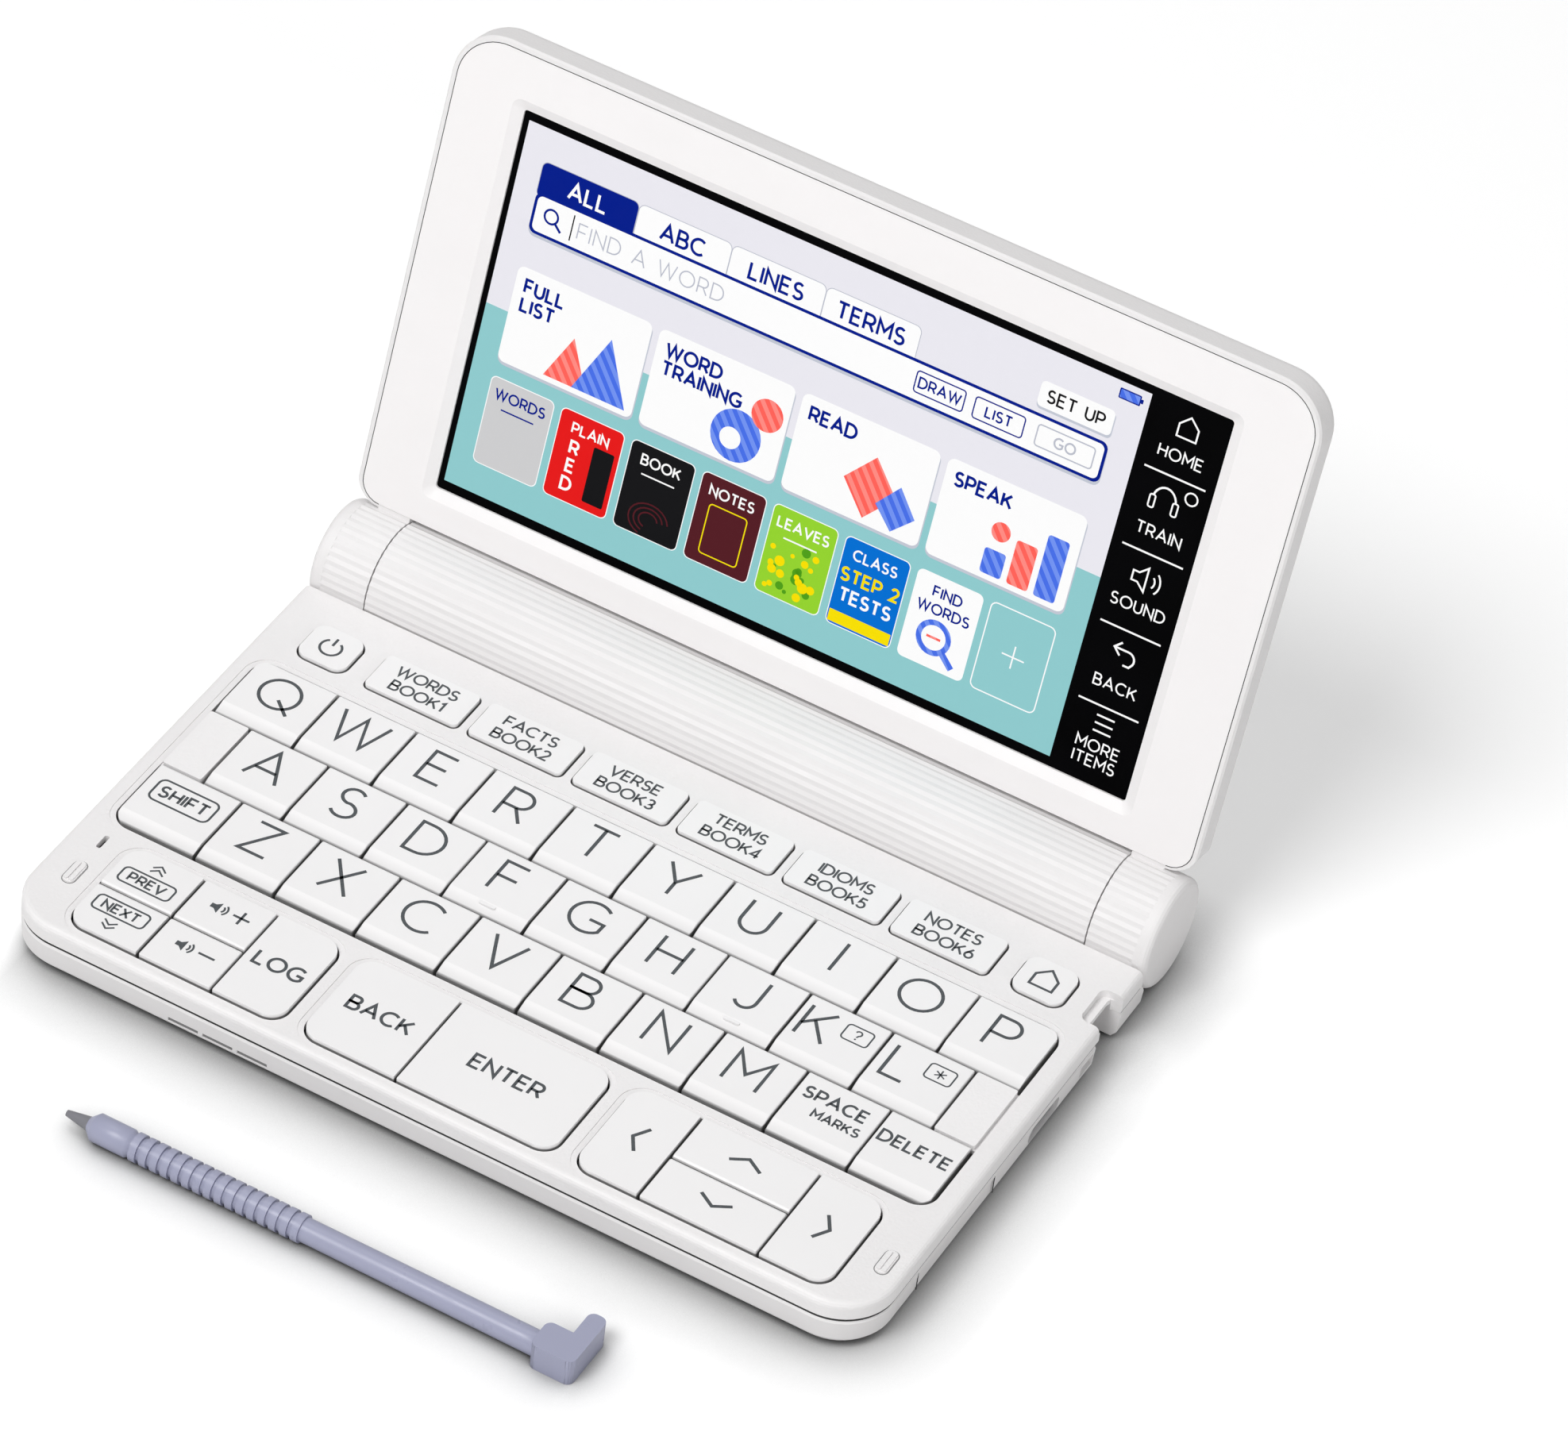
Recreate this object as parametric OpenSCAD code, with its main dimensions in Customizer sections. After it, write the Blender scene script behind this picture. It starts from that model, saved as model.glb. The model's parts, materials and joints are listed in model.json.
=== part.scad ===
// Pocket electronic dictionary: keyboard base, battery barrel, hinged screen lid and stylus.
// Case coordinates: X right, Y back from the front edge, Z up from the table.

/* [Case] */
// Width of the base and of the lid
case_w = 148; // [140:1:160]
// Height of the deck above the table
deck_z = 9.5; // [9.3:0.1:11]
// Height of the seam between upper and lower case
seam_z = 6; // [5.6:0.1:6.4]
// Height of the underside of the lower case
floor_z = 0.8; // [0.5:0.1:0.9]
// Depth of the base, front edge to rear wall
case_d = 88; // [88:0.5:90]
// Radius of the front corners of the base
front_corner_r = 9; // [7:0.5:10]
// Thickness of the side walls
side_wall = 1.8; // [1.4:0.1:2.2]
// Thickness of the bottom plate
floor_wall = 1.3; // [1:0.1:1.5]
// Thickness of the deck plate
deck_wall = 1.2; // [1:0.1:1.4]
// Rounding of the deck's outer edge
edge_r = 1; // [0.6:0.1:1.4]

/* [Barrel] */
// Distance of the hinge axis behind the rear wall
axis_back = 8; // [8:0.5:10]
// Height of the hinge axis above the table
axis_z = 9.6; // [9.5:0.1:10.5]
// Radius over the ribs of the barrel
barrel_r = 9.2; // [9:0.1:9.4]
// Depth of the grooves between the ribs
rib_depth = 0.16; // [0.1:0.02:0.24]
// Number of ribs round the barrel
rib_count = 40; // [30:1:48]
// Wall of the barrel round the batteries
barrel_wall = 1.6; // [1.4:0.1:1.7]
// Length of each end knuckle
knuckle_l = 10.25; // [9:0.25:12]
// Gap between the middle segment and each end knuckle
knuckle_gap = 0.25; // [0.15:0.05:0.4]
// Radius of the two hinge pins
pin_r = 1.5; // [1.2:0.1:1.8]
// Radial clearance of the hinge pins in the middle segment
pin_clear = 0.05; // [0.03:0.01:0.08]
// Thickness of the battery cover's overlap past each end of the cells
cover_over = 2; // [1:0.5:3]

/* [Lid] */
// Lean of the lid behind the vertical
lid_lean = 15; // [5:1:30]
// How far the closed lid ends short of the front edge
lid_short = 3; // [2:0.5:4]
// Distance from the hinge axis to the bottom edge of the lid
lid_bottom = 9.8; // [9.8:0.1:10.4]
// Total thickness of the lid
lid_t = 6.6; // [6.4:0.1:7.4]
// Distance of the lid's front face behind the hinge axis
face_back = 1.2; // [1.1:0.1:1.6]
// Width of the cover's rim round the bezel
rim_w = 0.9; // [0.7:0.1:1.2]
// Radius of the upper corners of the lid
lid_corner_r = 8.5; // [7:0.5:10]
// Radius of the lower corners of the lid
lid_low_r = 4.6; // [4:0.2:5]
// Thickness of the bezel
bezel_t = 1.3; // [1.1:0.1:1.5]
// Margin of the lid left of the visible glass
margin_left = 12.8; // [11:0.2:14]
// Margin of the lid right of the visible glass
margin_right = 13.8; // [12:0.2:16]
// Margin of the lid above the visible glass
margin_top = 10.2; // [9:0.2:13]
// Lower edge of the visible glass above the axis
glass_low = 16.4; // [15:0.2:18]
// Width of the slope round the glass
slope_w = 1.8; // [1:0.1:2]
// Thickness of the touch glass
glass_t = 1; // [0.8:0.1:1.2]
// Thickness of the display module
display_t = 2.4; // [2:0.1:2.6]

/* [Keys] */
// Height of the key tops above the deck
key_rise = 0.6; // [0.4:0.1:0.7]
// Travel of a key
key_travel = 0.6; // [0.4:0.1:0.6]
// Gap between two neighbouring keys
key_gap = 0.5; // [0.4:0.05:0.6]
// Gap between a key and the edge of its opening
well_gap = 0.35; // [0.3:0.05:0.5]
// Margin between the letter keys and the sides of the base
side_margin = 3.75; // [3.5:0.05:5]
// Row pitch of the letter keys
pitch_y = 14.3; // [14:0.1:14.4]
// Depth of the sloped strip in front of each letter
slope_d = 2.5; // [2:0.1:3]
// Drop of the sloped strip
slope_drop = 0.7; // [0.4:0.1:0.9]
// Front edge of the navigation keys
front_y = 2.6; // [2.4:0.1:3]
// Space between the navigation keys and the letter keys
nav_space_y = 3.3; // [3:0.1:4]
// Space between the letter keys and the function keys
func_space_y = 4.1; // [3.6:0.1:4.4]
// Space between the function keys and the rear wall
rear_space = 8.2; // [8:0.1:8.6]
// Depth of the function keys
func_d = 8; // [7:0.1:8]
// Radius of the block corners
block_r = 3; // [2:0.2:4]
// Space between neighbouring function keys
func_space = 2; // [1.6:0.1:2.4]
// Width of the power and home keys
corner_key_w = 8.5; // [7.5:0.1:9]
// Width of the left navigation block
nav_left_w = 37; // [35:0.5:39]
// Width of the arrow key block
nav_right_w = 42.3; // [40:0.1:44]
// Sideways space between the navigation blocks
nav_space = 3.6; // [3.4:0.1:4]
// Width of the previous and next keys
paging_w = 12.5; // [11:0.1:14]
// Width of the volume keys
volume_w = 12.9; // [11:0.1:14]
// Width of the back key
back_w = 16.6; // [14:0.1:18]
// Width of the left arrow key
left_w = 11.1; // [10:0.1:12]
// Width of the up and down keys
updown_w = 20; // [18:0.5:22]

/* [Stylus] */
// Radius of the stylus shaft
stylus_r = 2; // [1.8:0.05:2.05]
// Length of the stylus shaft with its tip
stylus_l = 80; // [76:1:80]
// Distance of the stylus in front of the base
stylus_out = 24.3; // [22:0.5:30]
// Distance of the stylus tip from the base's left side
tip_side = 28.1; // [20:0.1:36]
// Length of the grip
grip_l = 29.6; // [24:0.2:32]
// Number of grip rings
ring_count = 16; // [10:1:16]
// Length of the angled head
head_l = 7.2; // [6.4:0.1:9]
// Width of the head
head_w = 5.4; // [5:0.1:6]
// Width over the head's flange
flange_w = 10.4; // [9.4:0.1:12]
// Length of the head's flange
flange_l = 3; // [2.6:0.1:4]
// Height of the head
head_h = 4.8; // [4.4:0.1:5.4]
// Radial clearance of the rings in the stylus channel
silo_clear = 0.15; // [0.1:0.02:0.2]

/* [Inside] */
// Diameter of one battery cell
cell_d = 14.3; // [14:0.1:14.5]
// Length of one battery cell
cell_l = 50; // [49.5:0.1:50.5]
// Length of a contact spring
spring_l = 3.4; // [2.6:0.1:4.4]
// Thickness of a contact plate
contact_t = 0.6; // [0.4:0.1:0.8]
// Thickness of the circuit board
board_t = 1; // [0.8:0.1:1]
// Height of the underside of the circuit board
board_z = 4.9; // [4.8:0.1:5]
// Thickness of the rubber key mat
mat_t = 0.8; // [0.6:0.1:0.8]
// Radius of the screw shanks
screw_r = 0.9; // [0.7:0.05:1]
// Radius of the front foot pads
foot_r = 3.5; // [3:0.1:4]
// Radius of the speaker
speaker_r = 7.5; // [6:0.5:8]
// Lower and upper end of the card slot are this far behind and before its middle
card_half = 11.75; // [10:0.25:12]
// Width of the charging port
usb_w = 9; // [8.8:0.1:9.2]
// Radius of the headphone bore
jack_r = 1.8; // [1.7:0.1:1.9]

/* [Hidden] */
$fn = 48;

big = 400;
half_w = case_w / 2;
axis_y = case_d + axis_back;
lid_top = axis_y - lid_short;
glass_left = margin_left - half_w;
glass_right = half_w - margin_right;
glass_high = lid_top - margin_top;
rib_pitch = 360 / rib_count;
groove_r = barrel_r - rib_depth;
running_gap = 0.35;
knuckle_in = half_w - knuckle_l;
half_mid = knuckle_in - knuckle_gap;
mid_l = 2 * half_mid;
rim_band = 2.4;
bore_r = barrel_r - barrel_wall;
// half of the battery bay holds a cell, its spring and its contact plate
cell_play = 0.3;
contact_in = cell_l + cell_play + spring_l;
half_bay = contact_in + contact_t + cell_play;
cover_l = 2 * (cell_l + cover_over);
// key rows, from the rear wall to the front
func_y = case_d - rear_space - func_d;
letters_y = func_y - func_space_y - 3 * pitch_y;
front_d = letters_y - nav_space_y - front_y;
pitch_x = (case_w - 2 * side_margin) / 10;
// the stylus rings and the channel that they slide in
ring_r = stylus_r + 0.25;
silo_r = ring_r + silo_clear;
silo_z = floor_z + floor_wall + silo_r - 0.1;
silo_y = case_d - 12;
notch_d = 4.6;
notch_w = 8;
silo_mouth_x = half_w - notch_d;
silo_l = stylus_l + 1;
silo_top = silo_z + silo_r + 0.2;
// extent of the whole object, which is centred over the origin
stylus_front = -stylus_out - head_w / 2;
lid_rear = axis_y + lid_top * sin(lid_lean) + (face_back + lid_t - 1) * cos(lid_lean);
origin_y = (stylus_front + lid_rear) / 2;
// key heights
key_top = deck_z + key_rise;
deck_under = deck_z - deck_wall;
board_top = board_z + board_t;
mat_top = board_top + mat_t;
key_lift = 0.3;
key_bottom = mat_top + key_travel + key_lift;
strip_t = 0.4;
func_bottom = silo_top + strip_t + key_travel + key_lift - 0.1;
island_margin = 1.3;
island_drop = 0.15;
// key block outlines: left, right, front, back
letters_l = side_margin - half_w;
letters_r = half_w - side_margin;
letters_d = 3 * pitch_y;
row_shift = pitch_x / 2;
nav_l = 10.1 - half_w;
nav_r = half_w - 8.4;
nav_left = [nav_l, nav_l + nav_left_w];
nav_right = [nav_r - nav_right_w, nav_r];
nav_mid = [nav_left[1] + nav_space, nav_right[0] - nav_space];
corner_margin = 7;
power_x = [corner_margin - half_w, corner_margin - half_w + corner_key_w];
home_x = [-power_x[1], -power_x[0]];
// six dictionary keys share the room between the power and home keys
func_count = 6;
func_l = power_x[1] + 4;
func_w = (-2 * func_l - (func_count - 1) * func_space) / func_count;
func_xs = [for (k = [0:func_count - 1]) let (x = func_l + k * (func_w + func_space)) [x, x + func_w]];
blank_w = row_shift;
low_shift = 0.5;
// screws stand beside the key blocks
nav_half = front_y + front_d / 2;
screw_pts = [[-half_w + 4.6, 6.4], [half_w - 4.6, 6.4], [nav_left[1] + nav_space / 2, nav_half],
             [nav_right[0] - nav_space / 2, nav_half], [-half_w + 3.8, case_d - 4.6],
             [half_w - 3.8, case_d - 4.6]];
screw_head_r = 2 * screw_r;
head_t = 0.9;
head_z = floor_z + 0.3;
screw_top = deck_under - 0.5;
boss_r = 1.5;
port_y = silo_y - 20;
card_mid = port_y - 27.75;
card_y = [card_mid - card_half, card_mid + card_half];
card_t = 0.9;
card_z = [1.7, 5.2];
usb_z = 3.5;
jack_y = port_y + 2;
jack_z = 3.45;
foot_y = 9;
foot_x = half_w - 16;
rear_foot_x = half_mid - 5.5;
speaker_x = 38 - half_w;
speaker_y = speaker_r + 4.5;

module ship() translate([0, -origin_y, 0]) children();

// flat outline with round corners between two corner points
module outline(x0, x1, y0, y1, r) {
  for (x = [x0 + r, x1 - r], y = [y0 + r, y1 - r]) translate([x, y]) circle(r);
  translate([x0, y0 + r]) square([x1 - x0, y1 - y0 - 2 * r]);
  translate([x0 + r, y0]) square([x1 - x0 - 2 * r, y1 - y0]);
}

// outline whose lower corners have another radius than the upper ones
module lid_outline(inset, low) {
  middle = (lid_bottom + lid_top) / 2;
  outline(inset - half_w, half_w - inset, low, middle + lid_corner_r, lid_low_r - inset);
  outline(inset - half_w, half_w - inset, middle - lid_corner_r, lid_top - inset, lid_corner_r - inset);
}

module plate(x0, x1, y0, y1, r, z0, z1)
  translate([0, 0, z0]) linear_extrude(z1 - z0) outline(x0, x1, y0, y1, r);

// slab with round corners whose edge follows a list of [inset, height] points
module edge_slab(w, y0, y1, r, prof) {
  last = len(prof) - 1;
  corner = concat([[0, prof[0][1]]], [for (p = prof) [r - p[0], p[1]]], [[0, prof[last][1]]]);
  for (x = [r - w / 2, w / 2 - r], y = [y0 + r, y1 - r]) translate([x, y, 0])
    rotate_extrude() polygon(corner);
  wide = concat([for (p = prof) [p[0] - w / 2, p[1]]],
    [for (k = [last:-1:0]) [w / 2 - prof[k][0], prof[k][1]]]);
  translate([0, y1 - r, 0]) rotate([90, 0, 0]) linear_extrude(y1 - y0 - 2 * r) polygon(wide);
  deep = concat([for (p = prof) [y0 + p[0], p[1]]],
    [for (k = [last:-1:0]) [y1 - prof[k][0], prof[k][1]]]);
  translate([r - w / 2, 0, 0]) rotate([90, 0, 90]) linear_extrude(w - 2 * r) polygon(deep);
}

// edge points of a quarter round of radius r that ends at inset r and height z
function round_up(r, z, n = 4) = [for (k = [0:n]) [r * (1 - cos(90 * k / n)), z - r + r * sin(90 * k / n)]];

module along_x(x0, x1) translate([x0, axis_y, axis_z]) rotate([0, 90, 0]) linear_extrude(x1 - x0) children();

module ribbed_outline() {
  polygon([for (k = [0:rib_count - 1], s = [0, 1])
    (s == 0 ? barrel_r : groove_r) * [cos((k + s * 0.5) * rib_pitch), sin((k + s * 0.5) * rib_pitch)]]);
}

// room that the barrel needs in the case
module barrel_room(extra = running_gap) along_x(-big / 2, big / 2) circle(barrel_r + extra);

// ---------------------------------------------------------------- case shells
module case_outside_low() {
  chamfer = 1.1;
  edge_slab(case_w, 0, case_d + front_corner_r, front_corner_r,
    [[chamfer, floor_z], [0.25, floor_z + chamfer], [0, seam_z - 0.6], [0.35, seam_z]]);
}

module usb_opening(grow = 0)
  translate([half_w - 4, port_y, usb_z]) rotate([90, 0, 90]) linear_extrude(big)
    outline(-usb_w / 2 - grow, usb_w / 2 + grow, -1.35 - grow, 1.35 + grow, 1.3);

module lower_case() {
  color([0.93, 0.92, 0.92]) ship() {
    difference() {
      union() {
        difference() {
          case_outside_low();
          plate(-half_w + side_wall, half_w - side_wall, side_wall, case_d - side_wall - 3,
            front_corner_r - side_wall, floor_z + floor_wall, seam_z + 1);
        }
        // channel for the stylus
        translate([silo_mouth_x - silo_l - 2, silo_y - silo_r - 1, floor_z + 0.2])
          cube([silo_l + 3.4, 2 * silo_r + 2, silo_top - floor_z - 0.2]);
        // walls round the stylus notch
        translate([silo_mouth_x - 1.4, silo_y - notch_w / 2 - 1.3, floor_z + 0.2])
          cube([notch_d, notch_w + 2.6, seam_z - floor_z - 0.2]);
        // posts that carry the circuit board
        for (x = [16 - half_w, -20, 26, half_w - 27], y = [20, silo_y - 12]) translate([x, y, floor_z + 0.2])
          cylinder(r = 1.6, h = board_z - floor_z - 0.2);
        for (p = screw_pts) translate([p[0], p[1], floor_z + 0.2])
          cylinder(r = screw_head_r + 0.7, h = 2.6);
        // bed under the middle barrel
        translate([-half_mid + 1, case_d - 5, floor_z + 0.2]) cube([mid_l - 2, 5, 4.6]);
      }
      barrel_room();
      translate([-big / 2, case_d, -1]) cube([big, big, big]);
      // stylus channel and notch
      translate([silo_mouth_x - silo_l, silo_y, silo_z]) rotate([0, 90, 0])
        cylinder(r = silo_r, h = silo_l + 1);
      translate([silo_mouth_x, silo_y - notch_w / 2, -1]) cube([notch_d + 1, notch_w, big / 10]);
      // screw holes with room for the heads
      for (p = screw_pts) translate([p[0], p[1], 0]) {
        cylinder(r = screw_r + 0.15, h = seam_z);
        cylinder(r = screw_head_r + 0.15, h = head_z + head_t + 0.05);
      }
      // speaker slots in the front wall
      for (k = [0:2]) translate([speaker_x - 8 + 6 * k, -1, floor_z + 1.3]) cube([5.2, side_wall + 2, 0.8]);
      // charging port, strap recess, card slot and headphone jack
      usb_opening(0.25);
      translate([half_w - 1.2, silo_y - 8.4, 2.5]) cube([2, 4, 2.2]);
      translate([half_w - 4, card_y[0], card_z[0]]) cube([5, card_y[1] - card_y[0], card_z[1] - card_z[0]]);
      translate([-half_w - 1, jack_y, jack_z]) rotate([0, 90, 0]) cylinder(r = jack_r, h = side_wall + 1.8);
    }
  }
}

module key_well(x, y0, y1, r = block_r, z0 = 0)
  plate(x[0] - well_gap, x[1] + well_gap, y0 - well_gap, y1 + well_gap, r + well_gap, z0, big / 10);

module island(x0, x1, y0, y1)
  plate(x0 - island_margin, x1 + island_margin, y0 - island_margin, y1 + island_margin,
    block_r + island_margin, deck_z - island_drop, big / 10);

module deck_outside()
  edge_slab(case_w, 0, case_d + front_corner_r, front_corner_r,
    concat([[0.35, seam_z + 0.05], [0, seam_z + 0.45]], round_up(edge_r, deck_z)));

module bumper(x, y) {
  for (s = [-1, 1]) translate([x + 0.45 * s, y, deck_z - 0.2]) plate(-0.35, 0.35, -2.1, 2.1, 0.34, 0, 0.6);
  plate(x - 1, x + 1, y - 2.5, y + 2.5, 0.98, deck_z - 0.3, deck_z + 0.2);
}

module upper_case() {
  color([0.94, 0.93, 0.93]) ship() {
    difference() {
      union() {
        difference() {
          deck_outside();
          plate(-half_w + side_wall, half_w - side_wall, side_wall, case_d - side_wall,
            front_corner_r - side_wall, seam_z - 1, deck_under);
        }
        for (p = screw_pts) translate([p[0], p[1], seam_z + 0.05])
          cylinder(r = boss_r, h = deck_z - seam_z - 0.5);
        // thicker corner behind the thumb scoop
        translate([half_w - 8, silo_y + notch_w / 2 - 0.2, seam_z + 0.05]) cube([6.5, 5, 2.6]);
        // floor of the thumb scoop, just above the stowed stylus head
        translate([silo_mouth_x - 1, silo_y - notch_w / 2 - 0.5, silo_top + 0.2])
          cube([notch_d - 1, notch_w + 1, deck_under - silo_top]);
      }
      barrel_room();
      translate([-big / 2, case_d - 1.2, -1]) cube([big, big, big]);
      // tongue of the middle barrel
      translate([-half_mid + 2, case_d - 6, seam_z - 1]) cube([mid_l - 4, 8, 2.35]);
      island(letters_l, letters_r, letters_y, letters_y + letters_d);
      island(nav_left[0], nav_left[1], front_y, front_y + front_d);
      island(nav_mid[0], nav_mid[1], front_y, front_y + front_d);
      island(nav_right[0], nav_right[1], front_y, front_y + front_d);
      key_well([letters_l, letters_r], letters_y, letters_y + letters_d);
      for (x = [nav_left, nav_mid, nav_right]) key_well(x, front_y, front_y + front_d);
      for (x = func_xs) key_well(x, func_y, func_y + func_d, 1);
      for (x = [power_x, home_x]) key_well(x, func_y, func_y + func_d, 2);
      // microphone slot
      plate(5.1 - half_w, 5.9 - half_w, nav_half + 6.4, nav_half + 9.4, 0.38, deck_under - 1, big / 10);
      // pilot holes
      for (p = screw_pts) translate([p[0], p[1], 0]) cylinder(r = screw_r, h = screw_top + 0.1);
      // thumb scoop above the stylus head
      plate(silo_mouth_x + 1, half_w + 4, silo_y - notch_w / 2 + 0.2, silo_y + notch_w / 2, 1.4,
        deck_z - 1.4, big / 10);
      plate(half_w - 2.2, half_w + 4, silo_y - notch_w / 2 + 0.6, silo_y + notch_w / 2, 1, 0, big / 10);
    }
    bumper(5.6 - half_w, nav_half);
    bumper(half_w - 3.4, nav_half);
    // fixed blank plates at both ends of the middle letter row
    row = letters_y + pitch_y;
    for (s = [-1, 1]) {
      inner = letters_r - blank_w + key_gap / 2;
      for (p = [[letters_r, key_top - 0.1], [letters_r + well_gap + 0.3, deck_z - 0.4]])
        plate(min(s * inner, s * p[0]), max(s * inner, s * p[0]), row + key_gap / 2,
          row + pitch_y - key_gap / 2, 0.3, deck_under, p[1]);
    }
  }
}

module battery_sector(r, x0, x1, a0, a1)
  along_x(x0, x1) polygon(concat([[0, 0]], [for (k = [0:4]) let (a = a0 + (a1 - a0) * k / 4)
    [r * cos(a), r * sin(a)]]));

// the battery cover takes the lower rear part of the barrel wall
cover_a0 = 12;
cover_a1 = 78;
cover_clear = 0.12;

module barrel_shell() {
  color([0.93, 0.92, 0.92]) ship() {
    difference() {
      union() {
        along_x(-half_mid, half_mid) ribbed_outline();
        // tongue held under the deck
        intersection() {
          translate([-half_mid + 3, case_d - 5.5, seam_z + 0.1]) cube([mid_l - 6, 8, 1.1]);
          translate([-big / 2, 0, -big / 2]) cube([big, axis_y, big]);
        }
      }
      along_x(-half_bay, half_bay) circle(bore_r);
      for (s = [-1, 1]) translate([s * half_mid - 5, axis_y, axis_z]) rotate([0, 90, 0])
        cylinder(r = pin_r + pin_clear, h = 10);
      battery_sector(2 * barrel_r, -cover_l / 2, cover_l / 2, cover_a0, cover_a1);
    }
  }
}

module battery_cover() {
  color([0.92, 0.91, 0.91]) ship() intersection() {
    difference() {
      along_x(-cover_l / 2 + cover_clear, cover_l / 2 - cover_clear) ribbed_outline();
      along_x(-cover_l, cover_l) circle(bore_r);
    }
    battery_sector(2 * barrel_r, -cover_l, cover_l, cover_a0 + 1, cover_a1 - 1);
  }
}

module batteries() {
  color([0.25, 0.42, 0.62]) ship() for (s = [0, 1]) {
    nub = 1.2;
    translate([-cell_l - 0.1 + s * (cell_l + 0.2), axis_y, axis_z]) rotate([0, 90, 0]) {
      cylinder(r = cell_d / 2, h = cell_l - nub);
      cylinder(r = 2.7, h = cell_l);
    }
  }
}

module battery_contacts() {
  color([0.75, 0.76, 0.78]) ship() for (s = [0, 1]) translate([0, axis_y, axis_z]) mirror([s, 0, 0])
    rotate([0, 90, 0]) {
      translate([0, 0, contact_in]) cylinder(r = 6, h = contact_t);
      translate([0, 0, contact_in - spring_l]) cylinder(r = 2.4, h = spring_l + contact_t / 2);
    }
}

module circuit_board() {
  color([0.13, 0.38, 0.24]) ship() {
    difference() {
      plate(-half_w + 8.5, half_w - 8.5, side_wall + 1, silo_y - silo_r - 1.4, 2, board_z, board_top);
      for (p = screw_pts) translate([p[0], p[1], 0]) cylinder(r = screw_head_r + 1.2, h = big / 10);
    }
    // processor, memory and power chips under the board
    for (c = [[-10, 40, 14], [12, 44, 11], [-34, 34, 9]]) translate([c[0], c[1], board_z - 1.2])
      cube([c[2], c[2], 1.2]);
    // speaker behind the front slots
    translate([speaker_x, speaker_y, floor_z + floor_wall + 0.1])
      cylinder(r = speaker_r, h = board_z - floor_z - floor_wall - 0.1);
    // charging receptacle
    difference() {
      union() {
        intersection() {
          usb_opening();
          translate([half_w - 8, 0, 0]) cube([7.2, case_d, big / 10]);
        }
        translate([half_w - 11, port_y - usb_w / 2, board_z - 2.7]) cube([7.2, usb_w, 2.7]);
      }
      translate([half_w - 6, port_y, usb_z]) rotate([90, 0, 90]) linear_extrude(big)
        outline(-usb_w / 2 + 0.4, usb_w / 2 - 0.4, -0.95, 0.95, 0.9);
    }
    // card socket
    translate([half_w - 24, card_y[0] + 1, board_z - 2.4]) cube([15, card_y[1] - card_y[0] - 2, 2.4]);
    // headphone socket
    difference() {
      translate([-half_w + side_wall + 0.9, jack_y - 2.7, floor_z + floor_wall])
        cube([12, 5.4, board_z - floor_z - floor_wall]);
      translate([-half_w - 1, jack_y, jack_z]) rotate([0, 90, 0]) cylinder(r = 0.5, h = 10);
    }
  }
}

module key_mat() {
  color([0.80, 0.80, 0.78]) ship() {
    difference() {
      plate(letters_l + 1.5, letters_r - 1.5, front_y + 1, letters_y + letters_d - 1, 2, board_top, mat_top);
      for (p = screw_pts) translate([p[0], p[1], 0]) cylinder(r = screw_head_r + 1.2, h = big / 10);
    }
    // strip under the function keys
    translate([power_x[0] + 1, func_y + 1, silo_top])
      cube([home_x[1] - power_x[0] - 2, func_d - 2, strip_t]);
  }
}

module card_slot_cover() {
  color([0.92, 0.91, 0.91]) ship() {
    gap = 0.12;
    translate([half_w - card_t - 0.35, card_y[0] + gap, card_z[0] + gap])
      cube([card_t, card_y[1] - card_y[0] - 2 * gap, card_z[1] - card_z[0] - 2 * gap]);
    // tongue that grips inside the slot
    translate([half_w - 3.2, card_y[0] + 3, (card_z[0] + card_z[1]) / 2 - 0.5])
      cube([2.2, card_y[1] - card_y[0] - 6, 1]);
  }
}

module rubber_feet() {
  color([0.85, 0.84, 0.83]) ship() {
    for (s = [-1, 1]) translate([s * foot_x, foot_y, 0]) cylinder(r = foot_r, h = floor_z);
    for (s = [-1, 1]) difference() {
      translate([s * rear_foot_x - 4, axis_y - 3, 0]) cube([8, 6, 1.4]);
      barrel_room(0.02);
    }
  }
}

module screws() {
  color([0.55, 0.55, 0.57]) ship() for (p = screw_pts) translate([p[0], p[1], 0]) {
    translate([0, 0, head_z + head_t]) cylinder(r = screw_r, h = screw_top - head_z - head_t);
    difference() {
      translate([0, 0, head_z]) cylinder(r = screw_head_r, h = head_t);
      for (a = [0, 90]) rotate(a) translate([-1.1, -0.15, 0]) cube([2.2, 0.3, head_z + 0.4]);
    }
  }
}

// ---------------------------------------------------------------- lid
// lid coordinates: X right, Z up the lid from the axis, Y from the front face to the back
module lid_place() ship() translate([0, axis_y, axis_z]) rotate([-lid_lean, 0, 0]) children();
module stand_up() translate([0, face_back, 0]) mirror([0, 1, 0]) rotate([90, 0, 0]) children();

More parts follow.
